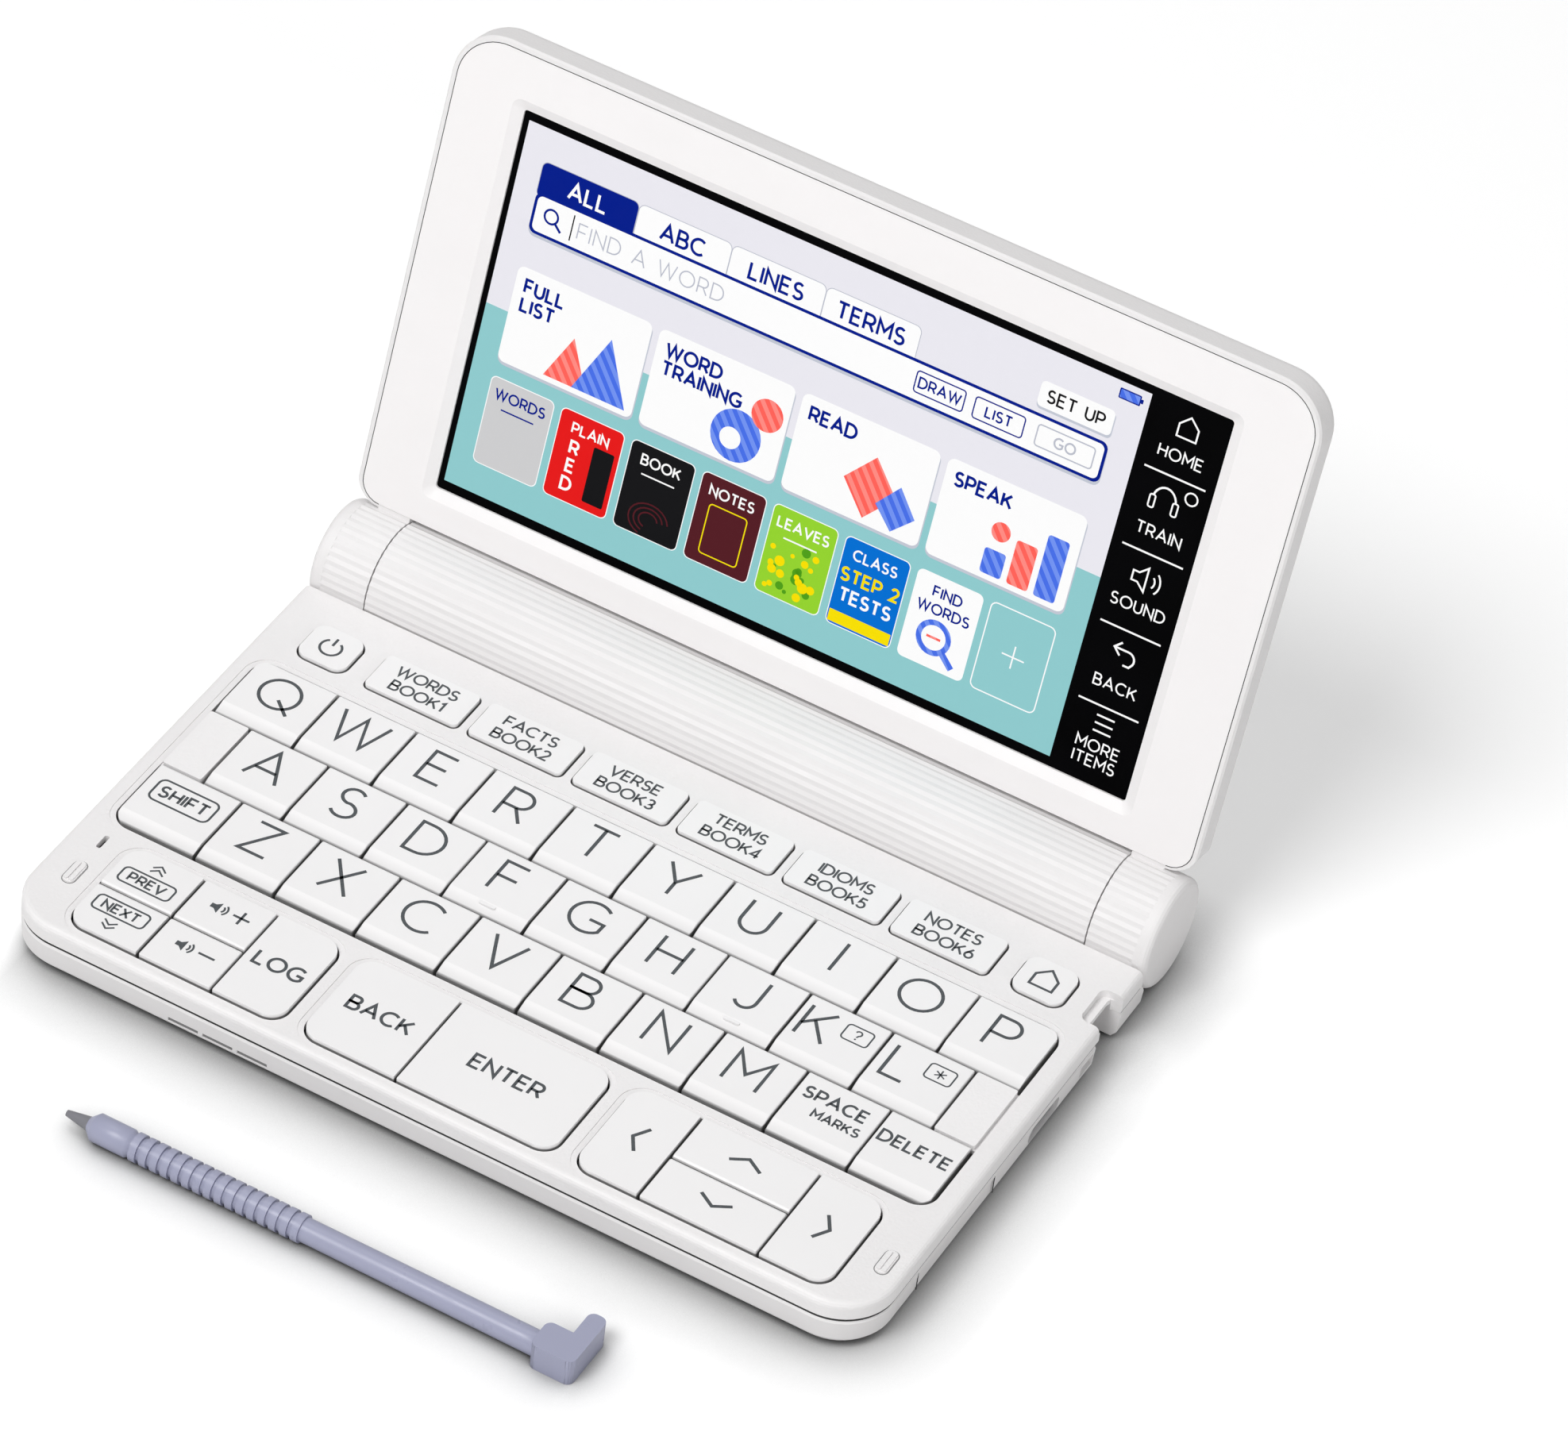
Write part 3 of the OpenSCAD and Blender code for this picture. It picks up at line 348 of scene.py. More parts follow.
class Sheet:
    """Collects flat shapes in millimetres on one plane and makes one thin mesh of them."""

    def __init__(self, name, place, low, high):
        self.name = name
        self.place = place
        self.low = low
        self.high = high
        self.bm = bmesh.new()

    def corners(self, points):
        low = [self.bm.verts.new(self.place(x, y, self.low)) for x, y in points]
        high = [self.bm.verts.new(self.place(x, y, self.high)) for x, y in points]
        return low, high

    def area(self, points):
        """A filled outline."""
        low, high = self.corners(points)
        self.bm.faces.new(high)
        self.bm.faces.new(low[::-1])
        count = len(points)
        for k in range(count):
            n = (k + 1) % count
            self.bm.faces.new((low[k], low[n], high[n], high[k]))

    def ribbon(self, points, width, closed=False):
        """A line of constant width with mitred corners."""
        count = len(points)
        left, right = [], []
        for k in range(count):
            here = Vector(points[k])
            before = Vector(points[k - 1]) if k or closed else None
            after = Vector(points[(k + 1) % count]) if k < count - 1 or closed else None
            a = (here - before).normalized() if before is not None else (after - here).normalized()
            b = (after - here).normalized() if after is not None else a
            na = Vector((-a.y, a.x))
            nb = Vector((-b.y, b.x))
            mitre = (na + nb).normalized()
            reach = width / 2 / max(MITRE_LIMIT, mitre.dot(na))
            left.append(here + mitre * reach)
            right.append(here - mitre * reach)
        ll, lh = self.corners(left)
        rl, rh = self.corners(right)
        last = count if closed else count - 1
        for k in range(last):
            n = (k + 1) % count
            self.bm.faces.new((rh[k], rh[n], lh[n], lh[k]))
            self.bm.faces.new((ll[k], ll[n], rl[n], rl[k]))
            self.bm.faces.new((lh[k], lh[n], ll[n], ll[k]))
            self.bm.faces.new((rl[k], rl[n], rh[n], rh[k]))
        if not closed:
            self.bm.faces.new((ll[0], rl[0], rh[0], lh[0]))
            self.bm.faces.new((rl[-1], ll[-1], lh[-1], rh[-1]))

    def make(self, material, body):
        bmesh.ops.recalc_face_normals(self.bm, faces=self.bm.faces)
        mesh = bpy.data.meshes.new(self.name)
        self.bm.to_mesh(mesh)
        self.bm.free()
        obj = bpy.data.objects.new(self.name, mesh)
        bpy.context.scene.collection.objects.link(obj)
        mesh.materials.append(material)
        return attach(obj, body)


def arc(cx, cy, rx, ry, a0, a1, n=14):
    """Points on an ellipse from angle a0 to a1, in degrees."""
    steps = [math.radians(a0 + (a1 - a0) * k / n) for k in range(n + 1)]
    return [(cx + rx * math.cos(a), cy + ry * math.sin(a)) for a in steps]


def ring(cx, cy, r, n=28):
    return arc(cx, cy, r, r, 0, 360, n)[:-1]


def rounded(x0, x1, y0, y1, r, n=5):
    """Outline of a rectangle with round corners."""
    return (arc(x1 - r, y0 + r, r, r, -90, 0, n) + arc(x1 - r, y1 - r, r, r, 0, 90, n)
            + arc(x0 + r, y1 - r, r, r, 90, 180, n) + arc(x0 + r, y0 + r, r, r, 180, 270, n))


# ---------------------------------------------------------------- letters: (strokes, width), cap height 1
BOWL_P = [(0, 0), (0, 1), (0.36, 1)] + arc(0.36, 0.715, 0.28, 0.285, 90, -90)[1:] + [(0, 0.43)]
BOWL_B_TOP = [(0, 0.52), (0, 1), (0.36, 1)] + arc(0.36, 0.76, 0.23, 0.24, 90, -90)[1:] + [(0, 0.52)]
BOWL_B_LOW = [(0, 0.52), (0.40, 0.52)] + arc(0.40, 0.26, 0.27, 0.26, 90, -90)[1:] + [(0, 0), (0, 0.52)]
GLYPHS = {
    "A": ([[(0, 0), (0.43, 1), (0.86, 0)], [(0.15, 0.32), (0.71, 0.32)]], 0.86),
    "B": ([BOWL_B_TOP, BOWL_B_LOW], 0.67),
    "C": ([arc(0.49, 0.5, 0.49, 0.5, 48, 312, 24)], 0.84),
    "D": ([[(0, 0), (0, 1), (0.30, 1)] + arc(0.30, 0.5, 0.50, 0.5, 90, -90)[1:] + [(0, 0)]], 0.80),
    "E": ([[(0.58, 1), (0, 1), (0, 0), (0.60, 0)], [(0, 0.52), (0.52, 0.52)]], 0.60),
    "F": ([[(0.58, 1), (0, 1), (0, 0)], [(0, 0.49), (0.52, 0.49)]], 0.58),
    "G": ([arc(0.49, 0.5, 0.49, 0.5, 48, 318, 24) + [(0.87, 0.44), (0.50, 0.44)]], 0.88),
    "H": ([[(0, 0), (0, 1)], [(0.70, 0), (0.70, 1)], [(0, 0.51), (0.70, 0.51)]], 0.70),
    "I": ([[(0, 0), (0, 1)]], 0.0),
    "J": ([[(0.50, 1), (0.50, 0.28)] + arc(0.24, 0.28, 0.26, 0.28, 0, -150)[1:]], 0.50),
    "K": ([[(0, 0), (0, 1)], [(0.64, 1), (0, 0.36)], [(0.25, 0.60), (0.70, 0)]], 0.70),
    "L": ([[(0, 1), (0, 0), (0.56, 0)]], 0.56),
    "M": ([[(0, 0), (0, 1), (0.43, 0.36), (0.86, 1), (0.86, 0)]], 0.86),
    "N": ([[(0, 0), (0, 1), (0.74, 0), (0.74, 1)]], 0.74),
    "O": ([arc(0.5, 0.5, 0.5, 0.5, 0, 360, 32)], 1.0),
    "P": ([BOWL_P], 0.64),
    "Q": ([arc(0.5, 0.5, 0.5, 0.5, 0, 360, 32), [(0.56, 0.32), (0.98, -0.06)]], 1.0),
    "R": ([BOWL_P, [(0.36, 0.43), (0.66, 0)]], 0.66),
    "S": ([arc(0.31, 0.745, 0.27, 0.255, 38, 262) + arc(0.31, 0.255, 0.30, 0.255, 80, -150)], 0.62),
    "T": ([[(0, 1), (0.68, 1)], [(0.34, 1), (0.34, 0)]], 0.68),
    "U": ([[(0, 1), (0, 0.35)] + arc(0.34, 0.35, 0.34, 0.35, 180, 360)[1:] + [(0.68, 1)]], 0.68),
    "V": ([[(0, 1), (0.42, 0), (0.84, 1)]], 0.84),
    "W": ([[(0, 1), (0.31, 0), (0.61, 0.96), (0.91, 0), (1.22, 1)]], 1.22),
    "X": ([[(0, 0), (0.72, 1)], [(0, 1), (0.72, 0)]], 0.72),
    "Y": ([[(0, 1), (0.39, 0.44), (0.78, 1)], [(0.39, 0.44), (0.39, 0)]], 0.78),
    "Z": ([[(0.03, 1), (0.68, 1), (0, 0), (0.70, 0)]], 0.70),
    " ": ([], 0.35),
    "1": ([[(0, 0.80), (0.24, 1), (0.24, 0)]], 0.3),
    "2": ([arc(0.28, 0.72, 0.27, 0.28, 160, -40) + [(0, 0), (0.58, 0)]], 0.58),
    "3": ([arc(0.27, 0.745, 0.24, 0.255, 150, -80) + arc(0.27, 0.255, 0.28, 0.255, 80, -150)], 0.56),
    "4": ([[(0.62, 0.26), (0, 0.26), (0.44, 1), (0.44, 0)]], 0.62),
    "5": ([[(0.50, 1), (0.10, 1), (0.05, 0.54)] + arc(0.25, 0.31, 0.29, 0.31, 120, -150)], 0.55),
    "6": ([[(0.42, 1), (0.05, 0.45)] + arc(0.29, 0.31, 0.29, 0.31, 160, 510, 20)], 0.58),
}
# strokes that end this near to where they began are closed rings
SAME_POINT = 0.01


def write(sheet, text, cx, cy, cap, stroke, space=0.28, start=False):
    """Writes generic letters or numbers centred on a point, or starting at it."""
    total = sum(GLYPHS[c][1] for c in text) + space * (len(text) - 1)
    x = cx if start else cx - total * cap / 2
    for c in text:
        strokes, width = GLYPHS[c]
        for points in strokes:
            line = [(x + px * cap, cy + (py - 0.5) * cap) for px, py in points]
            closed = len(line) > 3 and math.dist(line[0], line[-1]) < SAME_POINT
            sheet.ribbon(line[:-1] if closed else line, stroke, closed)
        x += (width + space) * cap


# ---------------------------------------------------------------- icons
def icon_power(s, x, y):
    s.ribbon(arc(x, y - 0.2, 1.75, 1.75, 125, 415, 20), 0.42)
    s.ribbon([(x, y + 0.3), (x, y + 2.1)], 0.42)


def icon_home(s, x, y, r=1.9, w=0.42):
    s.ribbon([(x - r, y - r), (x + r, y - r), (x + r, y + 0.25 * r), (x, y + 1.2 * r),
              (x - r, y + 0.25 * r)], w, True)


def icon_back(s, x, y, r, w):
    turn = arc(x + 0.6, y, r, r, -60, 90, 12)[2:]
    s.ribbon([(x + 0.2, y - r), (x + r, y - r)] + turn + [(x - 1.6, y + r)], w)
    s.ribbon([(x - 0.7, y + r + 1.1), (x - 1.8, y + r), (x - 0.7, y + r - 1.1)], w)


def icon_speaker(s, x, y):
    s.area([(x - 1.5, y - 0.45), (x - 0.8, y - 0.45), (x, y - 1.15),
            (x, y + 1.15), (x - 0.8, y + 0.45), (x - 1.5, y + 0.45)])
    for r in (0.75, 1.3):
        s.ribbon(arc(x + 0.05, y, r, r, -50, 50, 7), 0.32)


def icon_chevron(s, x, y, wide, high, w):
    s.ribbon([(x - wide, y - high), (x, y + high), (x + wide, y - high)], w)


def sign_question(s, x, y):
    s.ribbon(arc(x, y + 0.45, 0.5, 0.5, 170, -70, 8) + [(x, y - 0.45)], 0.26)
    s.area(ring(x, y - 0.85, 0.17, 8))


def sign_star(s, x, y):
    for degrees in (30, 90, 150):
        dx, dy = (0.95 * f(math.radians(degrees)) for f in (math.cos, math.sin))
        s.ribbon([(x - dx, y - dy), (x + dx, y + dy)], 0.24)


# ---------------------------------------------------------------- key legends, in millimetres
LEGEND_SINK = -0.02
LEGEND_RISE = 0.02
# cap height, stroke and, where it isn't the usual one, the space between letters
LETTER_TYPE = (6.6, 0.56)
WORD_TYPE = (2.7, 0.5)
NAME_TYPE = (2.2, 0.44)
STEP_TYPE = (1.7, 0.36)
SMALL_TYPE = (1.6, 0.34)
BOOK_TYPE = (2.05, 0.36, 0.22)
LETTER_SHIFT, LETTER_RISE = -0.3, 1.6
SIGNED_SHIFT = -3.1
SIGN_OFFSET = 3.0
SIGN_BOX = (2.2, 1.65, 0.6)
SIGN_LINE = 0.26
SIGNS = dict(K=sign_question, L=sign_star)
ICON_RISE = 0.1
WORD_RISE = 0.2
STEP_SHIFT = -0.2
VOLUME_RISE = 0.6
VOLUME_LINE = 0.42
ARROW = (2.6, 0.8)
ARROW_RISE, ARROW_LINE = 0.3, 0.56
ARROWS = dict(up_key=(0, 1), down_key=(0, -1), left_key=(-1, 0), right_key=(1, 0))
BOOK_WORDS = ["WORDS", "FACTS", "VERSE", "TERMS", "IDIOMS", "NOTES"]
BOOK_FIRST_MIDDLE, BOOK_PITCH = -46.25, 18.5
BOOK_ROWS = (5.7, 2.4)


def on_key(key):
    """Millimetres from the key's front left corner, on its top."""
    low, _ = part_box(key)
    return lambda x, y, z: Vector((low.x + x * MM, low.y + y * MM, KEY_TOP + z * MM))


def put_legend(key, draw):
    """Draws a legend around the middle of a key's top; it rides on that key."""
    low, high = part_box(key)
    sheet = Sheet(key + "_legend", on_key(key), LEGEND_SINK, LEGEND_RISE)
    draw(sheet, (high.x - low.x) / MM / 2, (high.y - low.y) / MM / 2)
    sheet.make(PRINT, key)


def letter_legend(letter):
    """One letter, and on two keys a small boxed sign beside it."""

    def draw(s, x, y):
        sign = SIGNS.get(letter)
        write(s, letter, x + (SIGNED_SHIFT if sign else LETTER_SHIFT), y + LETTER_RISE, *LETTER_TYPE)
        if sign:
            sx, sy = x + SIGN_OFFSET, y + SIGN_OFFSET
            wide, high, r = SIGN_BOX
            s.ribbon(rounded(sx - wide, sx + wide, sy - high, sy + high, r), SIGN_LINE, True)
            sign(s, sx, sy)

    put_legend("key_" + letter.lower(), draw)


def shift_legend(s, x, y):
    s.ribbon(rounded(x - 5.2, x + 5.2, y - 0.5, y + 4.3, 1.1), 0.36, True)
    write(s, "SHIFT", x, y + 1.9, *NAME_TYPE)


def space_legend(s, x, y):
    write(s, "SPACE", x - 0.3, y + 3.1, *NAME_TYPE)
    write(s, "MARKS", x + 1.5, y - 0.4, *SMALL_TYPE)


def delete_legend(s, x, y):
    write(s, "DELETE", x - 0.1, y + 1.7, *NAME_TYPE)


def step_legend(word, sign):
    """A boxed word with two chevrons, above it where the sign is 1 and below it where it is -1."""

    def draw(s, x, y):
        word_y = y - 1.3 * sign
        s.ribbon(rounded(x - 4.7, x + 4.3, word_y - 1.6, word_y + 1.6, 0.8), 0.32, True)
        write(s, word, x + STEP_SHIFT, word_y, *STEP_TYPE)
        for rise in (1.7, 2.6):
            icon_chevron(s, x + STEP_SHIFT, y + sign * rise, 1.1, 0.42 * sign, 0.3)

    return draw


def volume_legend(plus):
    """A speaker with a plus or a minus sign."""

    def draw(s, x, y):
        icon_speaker(s, x - 1.4, y + VOLUME_RISE)
        mid, arm = x + 2.4, 1.4
        s.ribbon([(mid - arm, y + VOLUME_RISE), (mid + arm, y + VOLUME_RISE)], VOLUME_LINE)
        if plus:
            s.ribbon([(mid, y + VOLUME_RISE - arm), (mid, y + VOLUME_RISE + arm)], VOLUME_LINE)

    return draw


def arrow_legend(dx, dy):
    """An open arrow head that points along dx, dy."""

    def draw(s, x, y):
        wide, high = ARROW
        points = [(-wide, -high), (0, high), (wide, -high)]
        s.ribbon([(x + px * dy + py * dx, y + ARROW_RISE + py * dy + px * dx) for px, py in points], ARROW_LINE)

    return draw


def book_legends(s, _x, _y):
    """Two short words on each of the six keys of one node."""
    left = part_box("dictionary_keys")[0].x / MM
    for number, word in enumerate(BOOK_WORDS):
        x = BOOK_FIRST_MIDDLE + BOOK_PITCH * number - left
        write(s, word, x, BOOK_ROWS[0], *BOOK_TYPE)
        write(s, "BOOK" + str(number + 1), x, BOOK_ROWS[1], *BOOK_TYPE)


def function_legends():
    """Icons and words on every key that isn't a letter."""
    for key, icon in (("power_key", icon_power), ("home_key", icon_home)):
        put_legend(key, lambda s, x, y, draw=icon: draw(s, x, y + ICON_RISE))
    for key, word in (("back_key", "BACK"), ("enter_key", "ENTER"), ("history_key", "LOG")):
        put_legend(key, lambda s, x, y, text=word: write(s, text, x, y + WORD_RISE, *WORD_TYPE))
    put_legend("shift_key", shift_legend)
    put_legend("space_key", space_legend)
    put_legend("delete_key", delete_legend)
    put_legend("previous_key", step_legend("PREV", 1))
    put_legend("next_key", step_legend("NEXT", -1))
    put_legend("volume_up_key", volume_legend(True))
    put_legend("volume_down_key", volume_legend(False))
    for key, (dx, dy) in ARROWS.items():
        put_legend(key, arrow_legend(dx, dy))
    put_legend("dictionary_keys", book_legends)


for letter in "ABCDEFGHIJKLMNOPQRSTUVWXYZ":
    letter_legend(letter)
function_legends()

# ---------------------------------------------------------------- seams with painted shade, and speaker cloth, in millimetres
# painted shade: a near-black band in the groove between both halves of the base
SEAM_LOW, SEAM_HIGH = 5.89, 6.15
SEAM_INSET = 0.28
SEAM_WIDTH = 0.24
CORNER_R = 9
NOTCH_FRONT, NOTCH_REAR, SEAM_REAR = 71.7, 80.4, 86.6
# fine lines of painted shade in the gaps lie a little in the surface and stand out by a hair
FINE_LINE = 0.13
FINE_SINK, FINE_RISE = -0.1, 0.012
CARD_SEAMS = (16.5, 40.0)
CARD_SEAM_LOW, CARD_SEAM_GAP = 1.9, 0.5
# cloth behind the slots of the front wall
SPEAKER_SLOTS = (-44.0, -38.0, -32.0)
CLOTH_FRONT, CLOTH_BACK = 0.42, 0.6
CLOTH_LOW, CLOTH_HIGH = 2.12, 2.88
CLOTH_LEFT, CLOTH_RIGHT = 0.03, 5.17
# painted shade round the rim of each of the two lid bumpers on the deck
BUMPERS = ((-68.4, 12.05), (70.6, 12.05))
RIM_HALF_W, RIM_HALF_D, RIM_R = 1.12, 2.62, 1.08
RIM_LINE = 0.14
RIM_SINK, RIM_RISE = -0.06, 0.02
DECK_Z = 9.5
# painted shade: a dark line in the gap between the lid's bezel and its back
LID_TOP = 93
LID_LINE_INSET, LID_LINE_LOW = 0.97, 9.85
LID_LINE_R_LOW, LID_LINE_R_HIGH = 3.6, 7.5


def on_case(x, y, z):
    return Vector((x * MM, FRONT_Y + y * MM, z * MM))


def on_front_wall(x, z, y):
    return on_case(x, y, z)


def on_right_wall(y, z, out):
    return on_case(HALF_WIDTH + out, y, z)


def on_lid_face(x, y, z):
    """y counts up from the hinge axis, z out of the face."""
    return AXIS + Vector((x * MM, 0, 0)) + LID_UP * (y * MM) - LID_FRONT * (FACE_BACK - z * MM)


def build_seams():
    """Painted shade in the groove between the base's halves, at the card cover ends, round the lid bumpers and
    round the bezel; and the speaker cloth.
    """
    edge, r = HALF_WIDTH - SEAM_INSET, CORNER_R - SEAM_INSET
    corner_x = HALF_WIDTH - CORNER_R
    # paints the shade in the groove between the base's halves
    groove_shade = Sheet("case_groove_shade", on_case, SEAM_LOW, SEAM_HIGH)
    groove_shade.ribbon([(-edge, SEAM_REAR)] + arc(-corner_x, CORNER_R, r, r, 180, 270, 16)
                  + arc(corner_x, CORNER_R, r, r, 270, 360, 16) + [(edge, NOTCH_FRONT)], SEAM_WIDTH)
    groove_shade.ribbon([(edge, NOTCH_REAR), (edge, SEAM_REAR)], SEAM_WIDTH)
    groove_shade.make(GAP_SHADE, "base")

    # paints dark lines of shade in the gaps at both ends of the card cover
    ends = Sheet("card_cover_gap_shade", on_right_wall, FINE_SINK, FINE_RISE)
    for y in CARD_SEAMS:
        ends.ribbon([(y, CARD_SEAM_LOW), (y, SEAM_LOW - CARD_SEAM_GAP)], FINE_LINE)
    ends.make(GAP_SHADE, "base")

    cloth = Sheet("speaker_cloth", on_front_wall, CLOTH_FRONT, CLOTH_BACK)
    for x in SPEAKER_SLOTS:
        left, right = x + CLOTH_LEFT, x + CLOTH_RIGHT
        cloth.area([(left, CLOTH_LOW), (right, CLOTH_LOW), (right, CLOTH_HIGH), (left, CLOTH_HIGH)])
    cloth.make(BUMPER_SHADE_AND_CLOTH, "base")

    # paints the shade round each lid bumper on the deck
    outline_shade = Sheet("bumper_outline_shade", on_case, DECK_Z + RIM_SINK, DECK_Z + RIM_RISE)
    for x, y in BUMPERS:
        outline_shade.ribbon(rounded(x - RIM_HALF_W, x + RIM_HALF_W, y - RIM_HALF_D, y + RIM_HALF_D, RIM_R),
                    RIM_LINE, True)
    outline_shade.make(BUMPER_SHADE_AND_CLOTH, "base")

    low_x, low_y = HALF_WIDTH - LID_LINE_INSET - LID_LINE_R_LOW, LID_LINE_LOW + LID_LINE_R_LOW
    top_x = HALF_WIDTH - LID_LINE_INSET - LID_LINE_R_HIGH
    top_y = LID_TOP - LID_LINE_INSET - LID_LINE_R_HIGH
    # paints a dark line of shade in the gap round the bezel
    line = Sheet("bezel_gap_shade", on_lid_face, FINE_SINK, FINE_RISE)
    line.ribbon(arc(-low_x, low_y, LID_LINE_R_LOW, LID_LINE_R_LOW, 270, 180, 6)
                + arc(-top_x, top_y, LID_LINE_R_HIGH, LID_LINE_R_HIGH, 180, 90, 12)
                + arc(top_x, top_y, LID_LINE_R_HIGH, LID_LINE_R_HIGH, 90, 0, 12)
                + arc(low_x, low_y, LID_LINE_R_LOW, LID_LINE_R_LOW, 0, -90, 6), FINE_LINE)
    line.make(GAP_SHADE, "lid")


build_seams()

# ---------------------------------------------------------------- display
# the page is laid out in millimetres from its lower left corner, on the front of the glass
GLASS_FRONT = 1.3
LCD_LEFT = -60.2
LCD_LOW = 18.0
LCD_W = 106.9
PAGE_H = 62.2
ROWS = 63.2 / PAGE_H
LAYER = 0.012
LAYER_SINK = 0.004
HORIZON = 31.1
PAGE_LEFT = 3.9
PAGE_RIGHT = 102.6

TABS = (("ALL", 3.9, 20.7), ("ABC", 20.9, 36.9), ("LINES", 37.1, 53.2), ("TERMS", 53.4, 69.5))
TAB_LOW, TAB_HIGH, TAB_R, TAB_EDGE = 51.0, 56.9, 1.0, 0.12
TAB_TYPE, TAB_TEXT_Y = (2.5, 0.46), 54.2
BOX_LOW, BOX_HIGH, BOX_LINE = 45.1, 51.9, 0.5
BOX_TYPE, BOX_TEXT = (2.5, 0.22), (12.0, 48.5)
BUTTONS = (("DRAW", "navy", 70.6, 78.9), ("LIST", "navy", 80.6, 89.0), ("GO", "pale", 91.2, 100.8))
BUTTON_LOW, BUTTON_HIGH, BUTTON_TEXT_Y = 46.8, 50.3, 48.55
SMALL_WORD = (1.6, 0.3)
SET_UP_TYPE = (1.9, 0.34)

CARD_WORDS = (("FULL", "LIST"), ("WORD", "TRAINING"), ("READ",), ("SPEAK",))
CARD_PITCH, CARD_W = 25.02, 23.7
CARD_LOW, CARD_HIGH, CARD_R = 22.9, 39.3, 1.2
CARD_TYPE, CARD_TEXT_Y, CARD_LINE_STEP = (2.1, 0.46), 36.4, 3.1

# word and colour of each tile on the shelf
TILES = (("WORDS", "silver"), ("PLAIN", "red"), ("BOOK", "black"), ("NOTES", "maroon"),
         ("LEAVES", "green"), ("CLASS", "sky_blue"), ("FIND", "white"))
TILE_PITCH, TILE_W = 12.52, 11.0
TILE_LOW, TILE_HIGH, TILE_R, TILE_EDGE = 5.3, 20.1, 0.9, 0.15
TILE_TEXT_Y = 17.6
TITLE_TYPE = (2.0, 0.42)
LEAF_SEED, LEAF_COUNT = 7, 26

STRIP_MIDDLE = LCD_W + 6.9
STRIP_TYPE = (1.8, 0.26)
STRIP_LINES = (51.2, 38.0, 24.8, 11.5)
STRIP_HALF = 5.1
STRIP_WORDS = ((54.6, "HOME"), (41.6, "TRAIN"), (29.1, "SOUND"), (15.4, "BACK"), (4.8, "MORE"), (2.2, "ITEMS"))

sheets = {}


def on_glass(x, y, z):
    """z counts from the glass towards the user."""
    out = FACE_BACK + (GLASS_FRONT - z) * MM
    return AXIS + Vector(((LCD_LEFT + x) * MM, 0, 0)) + LID_UP * ((LCD_LOW + y * ROWS) * MM) - LID_FRONT * out


def on(colour, layer):
    """The page's sheet of one colour on one layer."""
    key = (colour, layer)
    if key not in sheets:
        sheets[key] = Sheet(f"page_{colour}_{layer}", on_glass, -LAYER_SINK + LAYER * layer, LAYER * (layer + 1))
    return sheets[key]


def page_materials():
    return dict(
        sky=lit("lcd_lavender", LAVENDER), sea=lit("lcd_teal", TEAL), white=lit("lcd_white", WHITE, glow=0.72),
        navy=lit("lcd_navy", NAVY), pale=lit("lcd_grey", GREY_TEXT), shade=lit("lcd_shadow", (0.55, 0.58, 0.66)),
        coral=lit("lcd_coral_stripes", CORAL, CORAL_PALE), blue=lit("lcd_blue_stripes", BLUE, BLUE_PALE),
        red=lit("lcd_red", (0.80, 0.01, 0.01)), black=lit("lcd_black", (0.012, 0.012, 0.014), glow=0.3),
        maroon=lit("lcd_maroon", (0.09, 0.012, 0.018)), green=lit("lcd_green", (0.30, 0.66, 0.03)),
        sky_blue=lit("lcd_blue", (0.0, 0.16, 0.65)), yellow=lit("lcd_yellow", (0.95, 0.75, 0.0)),
        leaf=lit("lcd_leaf", (0.08, 0.35, 0.01)), silver=lit("lcd_silver", (0.62, 0.62, 0.63)))


def page_top():
    """Both halves of the background, the tabs, the search box and the small signs beside them."""
    on("sky", 0).area([(0, HORIZON), (LCD_W, HORIZON), (LCD_W, PAGE_H), (0, PAGE_H)])
    on("sea", 0).area([(0, 0), (LCD_W, 0), (LCD_W, HORIZON), (0, HORIZON)])
    for word, x0, x1 in TABS:
        chosen = word == "ALL"
        edge = rounded(x0 - TAB_EDGE, x1 + TAB_EDGE, TAB_LOW, TAB_HIGH + TAB_EDGE, TAB_R + 0.1)
        on("pale", 1).area(edge)
        on("navy" if chosen else "white", 2).area(rounded(x0, x1, TAB_LOW, TAB_HIGH, TAB_R))
        write(on("white" if chosen else "navy", 4), word, (x0 + x1) / 2, TAB_TEXT_Y, *TAB_TYPE)
    # search box with its shadow, lens, cursor and faint words
    on("shade", 2).area(rounded(PAGE_LEFT, PAGE_RIGHT + 0.1, BOX_LOW - 0.5, TAB_LOW, 1.2))
    on("navy", 3).area(rounded(PAGE_LEFT, PAGE_RIGHT, BOX_LOW, BOX_HIGH, 1.2))
    on("white", 4).area(rounded(PAGE_LEFT + BOX_LINE, PAGE_RIGHT - BOX_LINE,
                                BOX_LOW + BOX_LINE, BOX_HIGH - BOX_LINE, 0.9))
    on("navy", 5).ribbon(ring(7.2, 48.8, 1.15), 0.36, True)
    on("navy", 5).ribbon([(8.0, 48.0), (9.2, 46.9)], 0.42)
    on("black", 5).ribbon([(10.9, 46.4), (10.9, 50.7)], 0.22)
    write(on("pale", 5), "FIND A WORD", *BOX_TEXT, *BOX_TYPE, start=True)
    for word, colour, x0, x1 in BUTTONS:
        on(colour, 5).ribbon(rounded(x0, x1, BUTTON_LOW, BUTTON_HIGH, 0.5), 0.22, True)
        write(on(colour, 5), word, (x0 + x1) / 2, BUTTON_TEXT_Y, *SMALL_WORD)
    # settings button and battery sign
    on("shade", 1).area(rounded(89.9, 102.5, 52.6, 56.9, 0.8))
    on("white", 2).area(rounded(89.9, 102.3, 53.0, 57.2, 0.8))
    write(on("black", 3), "SET UP", 96.1, 55.1, *SET_UP_TYPE)
    on("navy", 1).area(rounded(101.9, 105.5, 59.5, 61.2, 0.2))
    on("blue", 2).area(rounded(102.1, 105.3, 59.7, 61.0, 0.1))
    on("navy", 1).area(rounded(105.5, 105.9, 60.0, 60.7, 0.1))


